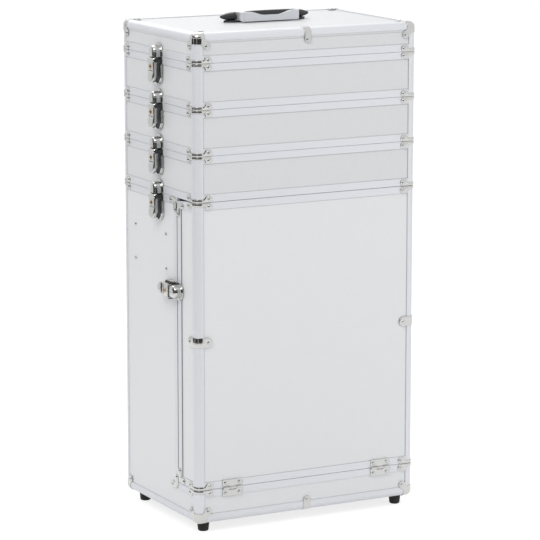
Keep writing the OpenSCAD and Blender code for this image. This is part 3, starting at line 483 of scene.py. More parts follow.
# Finishes


def add(tree, kind, *values, **settings):
    """Adds one node. values go to its inputs in order and settings to its attributes or named inputs.

    A node or a socket is linked, and anything else is set as the input's value.
    """
    node = tree.nodes.new(kind)
    named = {}
    for key, value in settings.items():
        if hasattr(node, key):
            setattr(node, key, value)
        else:
            named[key.replace("_", " ")] = value
    for key, value in [*enumerate(values), *named.items()]:
        if isinstance(value, bpy.types.Node):
            value = value.outputs[0]
        if isinstance(value, bpy.types.NodeSocket):
            tree.links.new(value, node.inputs[key])
        elif value is not None:
            node.inputs[key].default_value = value
    return node


def new_material(name):
    """Material with an empty node tree, and that tree."""
    material = bpy.data.materials.new(name)
    material.use_nodes = True
    material.node_tree.nodes.clear()
    return material, material.node_tree


def rgba(c):
    """Opaque colour for a socket with four values."""
    return (*c, 1.0)


def diamonds(tree, normal, position):
    """Height of the laminate's rows of tiny diamonds, from 0 in the valleys to 1.

    It is |sin(pi (u + v) / p)| |sin(pi (u - v) / p)|, where u runs along a wall, x + y, and v up it, and on
    the flat top they are x and y. They are drawn about twice as coarse as the real ones, to show. The side
    boards have a weaker pattern: the photo shows none there.
    """
    x, y, z = (position.outputs[i] for i in range(3))
    slope = add(tree, MATH, normal.outputs["Z"], operation="ABSOLUTE")
    flat = add(tree, MATH, slope, 0.7, operation="GREATER_THAN")
    upright = add(tree, MATH, 1.0, flat, operation="SUBTRACT")
    u = add(tree, MATH, y, upright, x, operation="MULTIPLY_ADD")
    v = add(tree, MATH, y, flat, operation="MULTIPLY")
    v = add(tree, MATH, z, upright, v, operation="MULTIPLY_ADD")
    waves = []
    for operation in ("ADD", "SUBTRACT"):
        wave = add(tree, MATH, u, v, operation=operation)
        wave = add(tree, MATH, wave, math.pi / (in_mm("emboss") * MM), operation="MULTIPLY")
        wave = add(tree, MATH, wave, operation="SINE")
        waves.append(add(tree, MATH, wave, operation="ABSOLUTE"))
    ridge = add(tree, "ShaderNodeMapRange", add(tree, MATH, *waves, operation="MULTIPLY"), 0.0, 0.35)
    # On the side boards the ridges are raised, which flattens the diamonds and weakens the valleys' painted
    # shade there
    sideways = add(tree, MATH, normal.outputs["X"], operation="ABSOLUTE")
    sideways = add(tree, MATH, sideways, 0.7, operation="MULTIPLY")
    return add(tree, MATH, ridge, sideways, operation="MAXIMUM")


def lined(tree, texture, normal, lined_floor):
    """1 on a board's lined faces.

    They are all that look at the case's middle line. With lined_floor the ones that look up are added, as in
    a tray, and otherwise the ones that look down, as in the lid.
    """
    from_middle = add(tree, "ShaderNodeVectorMath", texture.outputs["Object"], (1, 1, 0),
                      (0, -CASE_Y * MM, 0), operation="MULTIPLY_ADD")
    facing = add(tree, "ShaderNodeVectorMath", from_middle, texture.outputs["Normal"],
                 operation="DOT_PRODUCT")
    inside = add(tree, MATH, facing.outputs["Value"], -0.02, operation="LESS_THAN")
    limit, test = (0.5, "GREATER_THAN") if lined_floor else (-0.5, "LESS_THAN")
    level = add(tree, MATH, normal.outputs["Z"], limit, operation=test)
    return add(tree, MATH, inside, level, operation="MAXIMUM")


def beside_profiles(tree, position):
    """Strength of the narrow shadow in which the board lies beside each profile, as lines 1.5 mm wide.

    Each line has the coordinate that it is level in, its place and its strength. The sill's line is drawn
    on the door alone.
    """
    off, half, deepest = 0.5, 0.75, 0.6
    x, y, z = (position.outputs[i] for i in range(3))
    from_x = add(tree, MATH, x, operation="ABSOLUTE")
    from_y = add(tree, MATH, y, CASE_Y * MM, operation="SUBTRACT")
    from_y = add(tree, MATH, from_y, operation="ABSOLUTE")
    on_door = add(tree, MATH, y, DOOR_HIGH[1] * MM, operation="LESS_THAN")
    lines = [(z, joint + side * (BAND_H + off), 0.3) for joint in JOINT_Z.values() for side in (-1, 1)]
    lines += [
        (z, TOP_Z - EDGE_H - off, 0.3),
        (z, BASE_Z + EDGE_H + off, 0.3),
        (z, SILL_Z + BAND_H + off, on_door),
        (from_x, HALF_W - POST_LEG - off, 0.5),
        (from_y, HALF_D - POST_LEG - off, 0.15),
    ]
    shadow = 0.0
    for coordinate, at, strength in lines:
        near = add(tree, MATH, coordinate, at * MM, half * MM, operation="COMPARE")
        near = add(tree, MATH, near, strength, operation="MULTIPLY")
        shadow = add(tree, MATH, near, shadow, operation="MAXIMUM")
    return add(tree, MATH, shadow, deepest, operation="MINIMUM")


def laminate(name, shade="laminate", relief_and_shade=0.3, lined_floor=False):
    """Board laminated with embossed silver PVC outside and black lining inside.

    A satin plastic film with a metallic print: a soft sheen, broken by the embossed diamonds, which are
    about 0.15 mm high. Their valleys are darkened by a painted shade, weaker on the side boards. The
    relief setting deepens both the diamonds and that painted shade.
    """
    valley_shade, shadow_tint, diamond_h = 0.4, 0.3, 0.15
    material, tree = new_material(name)
    texture = add(tree, "ShaderNodeTexCoord")
    normal = add(tree, "ShaderNodeSeparateXYZ", texture.outputs["Normal"])
    position = add(tree, "ShaderNodeSeparateXYZ", texture.outputs["Object"])
    ridge = diamonds(tree, normal, position)
    tint = getattr(colours(), shade)
    # Painted shade in the diamonds' valleys: the film starts at a darker tint, and the ridges mix it back to
    # the laminate's own
    film = rgba([v * (1 - valley_shade * relief_and_shade) for v in tint])
    for cover, share in (
        (tint, ridge),
        ([v * shadow_tint for v in tint], beside_profiles(tree, position)),
        (colours().lining, lined(tree, texture, normal, lined_floor)),
    ):
        mix = add(tree, "ShaderNodeMix", data_type="RGBA", A=film, B=rgba(cover), Factor=share)
        film = mix.outputs["Result"]
    bump = add(tree, "ShaderNodeBump", Height=ridge, Strength=relief_and_shade, Distance=diamond_h * MM)
    shader = add(tree, "ShaderNodeBsdfPrincipled", film, Normal=bump, Roughness=0.42)
    add(tree, "ShaderNodeOutputMaterial", shader)
    return material


def drawn_aluminium(name, along, metal=0.25):
    """Satin anodised aluminium extrusion: a soft pale sheen with fine die lines along its length.

    The oxide skin scatters most of the light, so that the metal is only partly mirror-like. The lines are
    noise squeezed along the profile's run; they are drawn a few times coarser, to show. Profiles that run
    ROUND the case have soft ribs, a sine of the height, and are dark where two units meet: within joint_line
    of a joint's height. That line is drawn about three times as wide as the real gap, which would be lost
    at this distance. The door's upright joint is dark in the same way, and the edge of its profile has a
    line of painted shade in the same colour.
    """
    material, tree = new_material(name)
    squeeze = {"Z": (1, 1, 0.01), "ROUND": (0.02, 0.02, 1), "X": (0.02, 1, 1)}[along]
    texture = add(tree, "ShaderNodeTexCoord")
    place = add(tree, "ShaderNodeMapping", texture.outputs["Object"], Scale=squeeze)
    lines = add(tree, "ShaderNodeTexNoise", place, Scale=1 / (in_mm("draw_line") * MM), Detail=2.0)
    bump = add(tree, "ShaderNodeBump", Height=lines, Strength=0.1, Distance=0.04 * MM)
    rough = add(tree, "ShaderNodeMapRange", lines, To_Min=0.42, To_Max=0.54)
    tint = rgba(colours().aluminium)
    if along == "ROUND":
        position = add(tree, "ShaderNodeSeparateXYZ", texture.outputs["Object"])
        depth, height = position.outputs["Y"], position.outputs["Z"]
        turn = add(tree, MATH, height, 2 * math.pi / (in_mm("rib") * MM), operation="MULTIPLY")
        ribs = add(tree, MATH, turn, operation="SINE")
        bump = add(tree, "ShaderNodeBump", Height=ribs, Strength=0.35, Distance=0.12 * MM, Normal=bump)
        # The door's upright lines run between its top and bottom bands
        reach = (BASE_TOP - SILL_Z) / 2 - BAND_H - 1
        upright = add(tree, MATH, height, (BASE_TOP + SILL_Z) / 2 * MM, reach * MM,
                      operation="COMPARE")
        # Each line: the coordinate that it is level in, its place, half width and strength
        joint_and_shade_lines = [(height, joint, in_mm("joint_line"), 0.65) for joint in JOINT_Z.values()]
        # The first door line is its joint; the second, at the profile's edge, is painted shade
        joint_and_shade_lines += [(depth, DOOR_HIGH[1] + 0.4, 1.2, upright), (depth, DOOR_EDGE_Y, 1.6, upright)]
        joint_and_shade = 0.0
        for coordinate, at, half, strength in joint_and_shade_lines:
            near = add(tree, MATH, coordinate, at * MM, half * MM, operation="COMPARE")
            joint_and_shade = add(tree, MATH, near, strength, joint_and_shade, operation="MULTIPLY_ADD")
        mix = add(tree, "ShaderNodeMix", data_type="RGBA", A=tint, B=rgba(colours().joint_and_shade), Factor=joint_and_shade)
        tint = mix.outputs["Result"]
    shader = add(tree, "ShaderNodeBsdfPrincipled", tint, Normal=bump, Roughness=rough, Metallic=metal)
    add(tree, "ShaderNodeOutputMaterial", shader)
    return material


def plated_metal(name, shade, roughness):
    """Plated and buffed sheet metal: a bright mirror, made a little uneven by pressing and polishing."""
    material, tree = new_material(name)
    texture = add(tree, "ShaderNodeTexCoord")
    waves = add(tree, "ShaderNodeTexNoise", texture.outputs["Object"], Scale=1 / (4 * MM), Detail=3.0)
    bump = add(tree, "ShaderNodeBump", Height=waves, Strength=0.12, Distance=0.06 * MM)
    rough = add(tree, "ShaderNodeMapRange", waves, To_Min=roughness - 0.04, To_Max=roughness + 0.06)
    shader = add(tree, "ShaderNodeBsdfPrincipled", Normal=bump, Roughness=rough, Metallic=1.0,
                 Base_Color=rgba(getattr(colours(), shade)))
    add(tree, "ShaderNodeOutputMaterial", shader)
    return material


def moulded(name, shade, roughness, grain_mm, relief_mm):
    """Moulded plastic or rubber: even colour, with a spark-eroded grain that breaks up the sheen."""
    material, tree = new_material(name)
    texture = add(tree, "ShaderNodeTexCoord")
    grain = add(tree, "ShaderNodeTexNoise", texture.outputs["Object"], Scale=1 / (grain_mm * MM),
                Detail=2.0)
    bump = add(tree, "ShaderNodeBump", Height=grain, Strength=0.4, Distance=relief_mm * MM)
    rough = add(tree, "ShaderNodeMapRange", grain, To_Min=roughness - 0.06, To_Max=roughness + 0.06)
    shader = add(tree, "ShaderNodeBsdfPrincipled", Normal=bump, Roughness=rough,
                 Base_Color=rgba(getattr(colours(), shade)))
    add(tree, "ShaderNodeOutputMaterial", shader)
    return material


MATERIALS = {}


def finish(name):
    """The named finish, made when it is first asked for."""
    if name not in MATERIALS:
        MATERIALS[name] = {
            "laminate": lambda: laminate("Embossed laminate, base and door"),
            "tray_laminate": lambda: laminate("Embossed laminate, tray", "laminate_upper", 0.55, True),
            "lid_laminate": lambda: laminate("Embossed laminate, lid", "laminate_upper", 0.55),
            "lining": lambda: moulded("Black fibre lining", "lining", 0.9, 0.6, 0.05),
            "profile": lambda: drawn_aluminium("Anodised aluminium, drawn level", "ROUND"),
            "post": lambda: drawn_aluminium("Anodised aluminium, drawn upright", "Z", 0.1),
            "strap": lambda: drawn_aluminium("Anodised aluminium, drawn strap", "X", 0.7),
            "chrome": lambda: plated_metal("Nickel-chrome plated steel", "chrome", 0.11),
            "brass": lambda: plated_metal("Turned brass", "brass", 0.22),
            "plastic": lambda: moulded("Black moulded ABS", "plastic", 0.42, 0.5, 0.03),
            "rubber": lambda: moulded("Black moulded rubber", "rubber", 0.72, 0.7, 0.05),
            "hub": lambda: moulded("Grey moulded nylon", "hub", 0.5, 0.5, 0.03),
        }[name]()
    return MATERIALS[name]


def dress(finish_name, *nodes):
    """Gives the finish to every material slot of these CAD nodes."""
    for node in nodes:
        for slot in NODES[node].material_slots:
            slot.material = finish(finish_name)


# Corner fittings


def leaf_outline():
    """A cap's leaf on one face, from one edge round the ear to the other, and the normals into it.

    At the angle v from the edge its radius is reach / cos v, the arm's straight end, and round the ear the
    far side of a circle, d cos u + square root of (r squared - d squared sin squared u), u being the angle
    from the leaf's middle line and d the rivet's distance. A smooth step over three degrees joins them.
    """
    reach, ear, r = in_mm("cap_side", "cap_ear", "cap_ear_r")
    d = ear * math.sqrt(2)
    edge = 45 - math.degrees(math.asin(r / d))
    blend, past = 3, 1.5
    v = np.radians(np.concatenate([
        np.linspace(0, edge - blend, 8)[:-1], np.linspace(edge - blend, edge + past, 10),
        np.linspace(edge + past, 45, 9)[1:],
    ]))
    u = math.pi / 4 - v
    circle = d * np.cos(u) + circle_at(d * np.sin(u), r)
    arm = reach / np.cos(v)
    radius = arm + (circle - arm) * smooth(np.degrees(v), edge - blend, edge)
    half = np.stack([radius * np.cos(v), radius * np.sin(v)], 1)
    leaf = np.concatenate([half, half[::-1][1:, ::-1]])
    tangent = np.gradient(leaf, axis=0)
    tangent[0], tangent[-1] = (0, 1), (-1, 0)
    tangent /= np.linalg.norm(tangent, axis=1, keepdims=True)
    return leaf, np.stack([-tangent[:, 1], tangent[:, 0]], 1)


def corner_skin(q, g):
    """Moves points of a sharp corner, its faces at x = 0, y = 0 and z = 0, to the rounded one grown by g.

    A point's depth, the smaller of x and y, and its height are first rounded by the edge's radius: the part
    past the arc's centre becomes a unit vector times the radius plus g. Then x and y keep their direction
    from the upright corner's axis, at that axis's radius less the new depth.
    """
    corner, edge = in_mm("corner", "edge")
    x, y, z = q[..., 0], q[..., 1], q[..., 2]
    depth = np.minimum(x, y)
    cx, cz = np.maximum(depth, edge), np.minimum(z, -edge)
    vx, vz = depth - cx, z - cz
    length = np.maximum(np.hypot(vx, vz), 1e-9)
    new_depth = cx + vx / length * (edge + g)
    new_z = cz + vz / length * (edge + g)
    ax, ay = np.minimum(x - corner, 0), np.minimum(y - corner, 0)
    reach = np.maximum(np.hypot(ax, ay), 1e-9)
    near = (x < corner) | (y < corner)
    shrink = corner - new_depth
    new_x = np.where(near & (ax < 0), np.maximum(x, corner) + ax / reach * shrink, x)
    new_y = np.where(near & (ay < 0), np.maximum(y, corner) + ay / reach * shrink, y)
    return np.stack([new_x, new_y, new_z], -1)


def cap(x_side, y_side, z, up):
    """Three-way corner cap: rings of its three-leaved outline, shrunk to the corner and bent over it."""
    sheet, rim, ear = in_mm("sheet", "rim", "cap_ear")
    leaf, inward = leaf_outline()

    def on_faces(flat):
        """The leaf's points, less the last, on the three faces one after the other."""
        a, b, zero = flat[:-1, 0], flat[:-1, 1], np.zeros(len(flat) - 1)
        faces = ((b, zero, -a), (a, b, zero), (zero, a, -b))
        return np.concatenate([np.stack(face, 1) for face in faces])

    def place(p):
        """Points given from the sharp corner, x and y into the case and z up, on this corner of the case."""
        x, y, rise = p[..., 0], p[..., 1], p[..., 2]
        return np.stack([x_side * (HALF_W - x), CASE_Y + y_side * (HALF_D - y), z + up * rise], -1)

    face_h = SEAT + sheet
    spread = np.linspace(1, 0, 16)
    steps = [(f, 0, SEAT) for f in spread[::-1]] + [(1.0, 0, face_h - rim)]
    steps += [(1.0, inset, h) for inset, h in round_edge(rim, face_h)]
    steps += [(f, rim, face_h) for f in spread[1:]]
    rings = np.stack([corner_skin(on_faces((leaf + inset * inward) * f), g) for f, inset, g in steps])
    forms = [loft(place(rings))]
    for at, out in (((ear, 0, -ear), (0, -1, 0)), ((0, ear, -ear), (-1, 0, 0)), ((ear, ear, 0), (0, 0, 1))):
        # The base's caps have no rivet underneath
        if up > 0 or not out[2]:
            centre, tip = (place(np.array(at) + h * np.array(out)) for h in (face_h, face_h + 1))
            forms.append(rivet(centre, tip - centre))
    return joined(forms)


def bracket(x_side, y_side, z, up):
    """Half of a corner bracket: a strip round the corner that widens into a round ear on each wall.

    Its high edge is the strip's height plus a smooth step to the ear's; past the rivet both edges follow the
    ear's circle, middle +- square root of (r squared - d squared).
    """
    corner, ear, r, strip = in_mm("corner", "ear", "ear_r", "strip")
    foot, ear_start, ear_full = 0.2, 2.0, 6.5
    arc = corner * math.pi / 4
    rivet_s = arc + ear - corner
    end = np.radians(np.linspace(0, 90, 9))
    s = both_ways(np.concatenate([
        np.linspace(0, arc + ear_start, 9)[1:], np.linspace(arc + ear_start, rivet_s, 9)[1:-1],
        rivet_s + r * np.sin(end),
    ]))
    past = np.clip(np.abs(s) - rivet_s, 0, r)
    middle = r + foot
    round_end = circle_at(past, r)
    low = np.where(past > 0, middle - round_end, foot)
    high = strip + (middle + r - strip) * smooth(np.abs(s), arc + ear_start, arc + ear_full)
    high = np.where(past > 0, middle + round_end, high)
    rivets = [(side * rivet_s, middle) for side in (-1, 1)]
    return riveted(corner_place(x_side, y_side, z, up), s, low, high, rivets)


def corner_clip(x_side, z):
    """Strap round a door corner, with round ends: both edges are +- the ends' half circles."""
    reach, half, rivet_past = 8.5, 7.5, 1
    run = in_mm("corner") * math.pi / 4 + reach
    end = np.radians(np.linspace(0, 90, 9))
    s = both_ways(np.concatenate([np.linspace(0, run - reach, 8)[1:], run + half * np.sin(end)]))
    w = circle_at(np.clip(np.abs(s) - run, 0, half), half)
    rivets = [(side * (run + rivet_past), 0) for side in (-1, 1)]
    return riveted(corner_place(x_side, -1, z, 1), s, -w, w, rivets)


def edge_clip(y_side, z, up):
    """Strap over a rounded edge at the middle of a wall, its end on the wall round and riveted."""
    half, drop, end_r = 5.5, 16.5, 1.5
    edge = in_mm("edge")
    reach = edge * math.pi / 4 + drop - edge
    s, w = strip_ends(-reach - half, reach, half, half, end_r, between=14)
    return riveted(edge_place(y_side, z, up), s, -w, w, [(-reach, 0)], crown=0.0)


def l_plate(x_side, y, z, y_dir, up):
    """L-shaped plate on a side wall: a strip along one leg, round a quarter turn and along the other."""
    leg, half, inner_r = 18.0, 4.5, 0.6
    bend = half + inner_r
    reach = bend * math.pi / 4 + leg - half - bend
    s, w = strip_ends(-(reach + half), reach + half, half, half, half, between=18)

    def place(s, across, h):
        s, across, h = np.broadcast_arrays(s, across, h)
        p, q = (half + bend + v for v in bent(s, across, bend, 225))
        return np.stack([x_side * (HALF_W + h), y + y_dir * q, z - up * p], -1)

    return riveted(place, s, -w, w, [(side * reach, 0) for side in (-1, 1)])


def under_swing(form):
    """Keeps a door fitting inside the circle that the door's top sweeps round the hinge, less a gap."""
    points, faces = form
    gap = 0.5
    reach = BASE_TOP - SILL_Z - gap
    ceiling = SILL_Z + np.sqrt(reach ** 2 - (points[:, 1] - HINGE_Y) ** 2)
    points[:, 2] = np.minimum(points[:, 2], ceiling)
    return points, faces


# Draw latches


def latch_place(joint):
    """Function from (outward, across, up) at a latch's joint, read from its lever's packed turn."""
    turn = TURNS[joint]
    pivot = np.array(turn["pos_m"]) / MM
    out = np.array([np.sign(pivot[0]), 0, 0])
    level = abs(turn["axis"][1]) > 0.5
    across, up = np.array(((0, 1, 0), (0, 0, 1)) if level else ((0, 0, 1), (0, -1, 0)), float)
    return placed(pivot - PIVOT_OUT * out + PIVOT_DOWN * up, out, across, up)


def on_wall(place, down=1.0):
    """The latch's frame for a plate: its length s runs from the joint, down or up, and its width across."""
    return lambda s, w, h: place(h, w, -down * s)


def u_curve(half, start, end, steps=13):
    """Open curve down one side, round the end and up the other, with its line of middles and its normals."""
    a = np.linspace(0, math.pi, steps)
    straight = np.linspace(start, end - half, 7)[:-1]
    n = len(straight)
    across = np.concatenate([np.full(n, half), half * np.cos(a), np.full(n, -half)])
    along = np.concatenate([straight, end - half + half * np.sin(a), straight[::-1]])
    inward = np.stack([-np.sign(across), np.zeros_like(across)], 1)
    inward[n:n + steps] = -np.stack([np.cos(a), np.sin(a)], 1)
    spine = np.stack([np.zeros_like(across), np.minimum(along, end - half)], 1)
    return np.stack([across, along], 1), spine, inward


def lever_forms(place):
    """Lever: a pressed channel, its crowned face stepped up to a finger end, a curled top and a draw bar.

    The face's height is LEVER_OUT plus a step of 3 t squared - 2 t cubed before the finger end, less a
    groove exp(-(d / w) squared) at its foot, and less a crown of (y / half) squared.
    """
    half = in_mm("lever_w") / 2
    rim, wall, side_h, shaped_h = 1.6, 1.0, 4.4, 2.2
    groove, groove_w, crown = 0.9, 1.3, 0.45
    step_start, step_end = NOTCH_DOWN + 1, NOTCH_DOWN + 9
    curve, spine, inward = u_curve(half, PIVOT_DOWN, LEVER_LOW)

    def face(h, across, along):
        """The latch's frame, with the upper part of the channel moved out by the face's rise."""
        share = np.clip((h - (LEVER_OUT - shaped_h)) / shaped_h, 0, 1)
        rise = LEVER_STEP * smooth(along, step_start, step_end) - crown * (across / half) ** 2
        rise -= groove * np.exp(-((along - NOTCH_DOWN) / groove_w) ** 2)
        return place(h + share * rise, across, -along)

    profile = [(0, LEVER_OUT - side_h, 1.0)]
    profile += [(inset, h, 1.0) for inset, h in round_edge(rim, LEVER_OUT, 5)]
    profile += [(rim, LEVER_OUT, f) for f in (0.8, 0.6, 0.4, 0.2, 0.0)]
    curl, bar_half, bar_t, bar_low, bar_high = 4.0, 6, 2.4, 30, 2.6
    bar = PIVOT_OUT - curl - 1
    return [
        hollow(curve, spine, inward, profile, wall, face),
        rod(place(PIVOT_OUT, -half, -PIVOT_DOWN), place(PIVOT_OUT, half, -PIVOT_DOWN), curl, 0.7),
        block((bar, -bar_half, -bar_low), (bar + bar_t, bar_half, -bar_high), 0.6, place),
        block((bar, -bar_half, -PIVOT_DOWN - bar_t), (PIVOT_OUT - 1, bar_half, -PIVOT_DOWN), 0.5, place),
    ]


def lever_plate_forms(place):
    """Fixed plate under a lever: a strip with a round end, and a bead round it.

    The bead is an oval section carried along a U, which grows out of the plate by a smooth step at its ends.
    """
    latch_w, length, thick = in_mm("latch_w", "latch_l", "latch_t")
    half, bead_in, bead_top = latch_w / 2, 1.6, 10.0
    s, w = strip_ends(0.35, length, half, 1.5, half, steps=10, between=6)
    curve, _, inward = u_curve(half - bead_in, bead_top, length - bead_in, 21)
    across, along = curve.T
    centre = place(SEAT + thick, across, -along)
    side = place(SEAT + thick, across + inward[:, 0], -along - inward[:, 1]) - centre
    out = place(1.0, 0.0, 0.0) - place(0.0, 0.0, 0.0)
    a = np.linspace(0, 2 * math.pi, 12, endpoint=False)[None, :, None]
    grow = smooth(along, bead_top - 0.1, bead_top + 5)[:, None, None]
    bead_w, bead_h = 0.2 + 0.7 * grow, 0.3 + 2.2 * grow
    bead = centre[:, None] + side[:, None] * bead_w * np.cos(a) + out * bead_h * np.sin(a)
    return [plate(s, -w, w, thick, 0.5, on_wall(place)), closed_loft(bead)]


def recess_shade_forms(place):
    """Painted shade in a latch, as black pieces: a bed on its plate inside the bead, and the lever's ears and
    pin.
    """
    latch_w, lever_w, length, thick = in_mm("latch_w", "lever_w", "latch_l", "latch_t")
    inset, bed_t, ear_t, ear_r, ear_gap, pin_r, pin_past = 2.4, 0.3, 1.4, 2.6, 0.3, 1.25, 0.4
    half = latch_w / 2 - inset
    s, w = strip_ends(1.0, length - inset, half, 1.0, half, steps=10, between=4)
    forms = [plate(s, -w, w, bed_t, 0.1, on_wall(place), lift=SEAT + thick)]
    s, w = strip_ends(SEAT, PIVOT_OUT + ear_r, ear_r, 0.3, ear_r, between=2)
    for side in (-1, 1):
        middle = side * (lever_w / 2 + ear_gap + ear_t / 2)

        def ear_place(out, z, h, middle=middle):
            """An ear's frame: it stands out from the wall beside the lever."""
            return place(out, middle + h, z - PIVOT_DOWN)

        forms.append(plate(s, -w, w, ear_t, 0.3, ear_place, lift=-ear_t / 2))
    pin = lever_w / 2 + ear_gap + ear_t + pin_past
    start, end = (place(PIVOT_OUT, side * pin, -PIVOT_DOWN) for side in (-1, 1))
    forms.append(rod(start, end, pin_r, 0.4))
    return forms


def catch_forms(place):
    """Catch over a lever: a round-ended plate, a domed hood, two rivets and the keeper behind the lever.

    The hood's height falls towards its outline as H (1 - f to the power p) to the power 1 / p, f being 0
    on its middle line and 1 at the outline.
    """
    latch_w, lever_w, length, thick = in_mm("latch_w", "lever_w", "catch_l", "latch_t")
    half, hood_half = latch_w / 2, lever_w / 2
    wall = on_wall(place, -1)
    s, w = strip_ends(0.35, length, half, 1.5, half - 0.5, steps=10, between=2)
    curve, spine, inward = u_curve(hood_half, 0.4, length - 3)
    foot, top, p = SEAT + thick, LEVER_OUT - 0.7, 4.5
    f = np.sin(np.linspace(math.pi / 2, 0, 14))
    profile = [(0, foot + (top - foot) * (1 - k ** p) ** (1 / p), k) for k in f]
    rivet_s, rivet_z, rivet_r, rivet_h = length - 9, (half + hood_half) / 2, 1.4, 0.9
    keeper_half, keeper_low, keeper_high, keeper_t = 4, 6, 3, 1.2
    keeper = foot + 0.2
    return [
        plate(s, -w, w, thick, 0.5, wall),
        hollow(curve, spine, inward, profile, 1.0, place),
        block(
            (keeper, -keeper_half, -keeper_low), (keeper + keeper_t, keeper_half, keeper_high), 0.4, place
        ),
        *(rivet_at(wall, rivet_s, side * rivet_z, foot, rivet_r, rivet_h) for side in (-1, 1)),
    ]


def key_place(place):
    """The latch's frame for what is turned round its key's axis."""
    return lambda s, z, h: place(h, s, z - KEY_DOWN)


def key_forms(place):
    """Key cylinder: a turned disc with a chamfer and a dished face."""
    r, top = KEY_R, LEVER_OUT + 0.45
    dish = top - 0.7
    profile = [(0, top - 2), (r, top - 2), (r, top - 0.4), (r - 0.4, top), (r - 0.7, top), (r - 1.9, dish),
               (0, dish)]
    return [revolve(profile, key_place(place), 28)]


def keyway_shade_forms(place):
    """Painted shade as black pieces: in the gap round a key cylinder, in its slot, and in the notch across
    the lever's face.
    """
    r, low, high = KEY_R, LEVER_OUT - 1, LEVER_OUT + 0.08
    gap = [(r - 0.2, low), (r + 0.45, low), (r + 0.45, high), (r - 0.2, high), (r - 0.2, low)]
    slot_half, slot_reach, notch_half, notch_reach = 0.45, 1.7, 0.4, 7
    return [
        revolve(gap, key_place(place), 28),
        block((LEVER_OUT - 0.5, -slot_half, -KEY_DOWN - slot_reach),
              (LEVER_OUT + 0.5, slot_half, -KEY_DOWN + slot_reach), 0.15, place),
        block((LEVER_OUT - 2, -notch_reach, -NOTCH_DOWN - notch_half),
              (LEVER_OUT - 0.45, notch_reach, -NOTCH_DOWN + notch_half), 0.2, place),
    ]


# Handles, hinges, wheels and feet


def hinge_leaf(x, up, knuckles, middle_out):
    """Hinge leaf: a plate with round corners, two rivets and its knuckles, stretches of a bar along x.

    Its near edge is close to the pin only beside its own knuckles: where middle_out is set, that is over the
    middle knuckle's width, and otherwise past it. The edge steps there between two stations.
    """
    height, leaf_t, barrel, end_r = 12.5, 1.0, 1.9, 1.8
    close, away, slant = 0.6, 3.3, 0.4
    rivet_x, rivet_z = HINGE_HALF - 5, height - 4.6
    half_h = height / 2
    s, w = strip_ends(-HINGE_HALF, HINGE_HALF, half_h, end_r, end_r, between=2)
    inner, outer = KNUCKLE_HALF, KNUCKLE_HALF + slant
    s = np.concatenate([s, [-outer, -inner, inner, outer]])
    order = np.argsort(s, kind="stable")
    s, w = s[order], np.concatenate([w, np.full(4, half_h)])[order]
    over, past = (close, away) if middle_out else (away, close)
    near = np.where(np.abs(s) < (inner + outer) / 2, over, past)
    middle = (height + away) / 2
    top = middle + w * (height - middle) / half_h
    low = np.minimum(near + half_h - w, middle)
    ends = w < 1e-6
    top[ends] = low[ends] = middle
    place = placed((x, CASE_Y - HALF_D, SILL_Z), (1, 0, 0), (0, 0, up), (0, -1, 0))
    forms = [plate(s, low, top, leaf_t, 0.3, place)]
    axis = np.array([x, HINGE_Y, SILL_Z])
    forms += [rod(axis + (a, 0, 0), axis + (b, 0, 0), barrel, 0.25) for a, b in knuckles]
    forms += [rivet_at(place, side * rivet_x, rivet_z, SEAT + leaf_t) for side in (-1, 1)]
    return joined(forms)


def strap_form(axis):
    """Silver strap of the carry handle, carried along a U from one pivot round the front to the other.

    Its upper edge dips in the middle by a smooth step, and its ends follow the pivots' circles,
    middle +- square root of (r squared - d squared).
    """
    half, bend, end_r, end_z = 50.5, 7.0, 6.0, 8.5
    foot, foot_rise, top, top_fall, dip, dip_start, dip_end = 0.3, 2.2, 14.8, 0.3, 5.4, 36, 10
    flat = half - bend
    arc = bend * math.pi / 2
    pivot_s = flat + arc + STRAP_REACH - bend
    end = np.radians(np.linspace(0, 90, 9))
    s = both_ways(np.concatenate([
        np.linspace(0, flat, 17)[1:], flat + np.linspace(0, arc, 10)[1:],
        np.linspace(flat + arc, pivot_s, 6)[1:], pivot_s + end_r * np.sin(end[1:]),
    ]))
    a = np.abs(s)
    past = np.clip(a - pivot_s, 0, end_r)
    round_end = circle_at(past, end_r)
    low = foot + foot_rise * smooth(a, flat + 3, flat + arc)
    high = top - top_fall * smooth(a, half, pivot_s) - dip * (1 - smooth(a, dip_end, dip_start))
    low = np.where(past > 0, end_z - round_end, low)
    high = np.where(past > 0, end_z + round_end, high)

    def place(s, z, h):
        s, z, h = np.broadcast_arrays(s, z, h)
        beyond = np.maximum(np.abs(s) - flat, 0)
        turn = np.minimum(beyond / bend, math.pi / 2)
        radius = bend - STRAP_T + h
        x = np.where(beyond > 0, np.sign(s) * (flat + radius * np.sin(turn)), s)
        y = axis[1] - STRAP_REACH + bend - radius * np.cos(turn) + beyond - turn * bend
        return np.stack([x, y, TOP_Z + z], -1)

    return plate(s, low, high, STRAP_T, 0.6, place, lift=0.0)


def grip_form(axis):
    """Soft grip behind the strap: a section |y / a| to the p + |z / b| to the p = 1, carried along x.

    It swells a little in the middle, and its ends are drawn in by (1 - (x / l) to the 10) to the 1 / 2.
    """
    half, a, b, p, middle_z, gap = 47.0, 4.6, 6.75, 3.0, 9.0, 0.1
    x = half * np.sin(np.linspace(-math.pi / 2, math.pi / 2, 41))
    t = np.linspace(0, 2 * math.pi, 32, endpoint=False)
    scale = np.sqrt(np.maximum(1 - np.abs(x / half) ** 10, 0))[:, None]
    swell = 1 + 0.05 * np.cos(math.pi * x / (2 * half))[:, None]
    c, s = np.cos(t), np.sin(t)
    middle_y = axis[1] - STRAP_REACH + STRAP_T + gap + a
    y = middle_y + a * scale * np.sign(c) * np.abs(c) ** (2 / p)
    z = TOP_Z + middle_z + b * scale * swell * np.sign(s) * np.abs(s) ** (2 / p)
    return loft(np.stack(np.broadcast_arrays(x[:, None], y, z), -1))


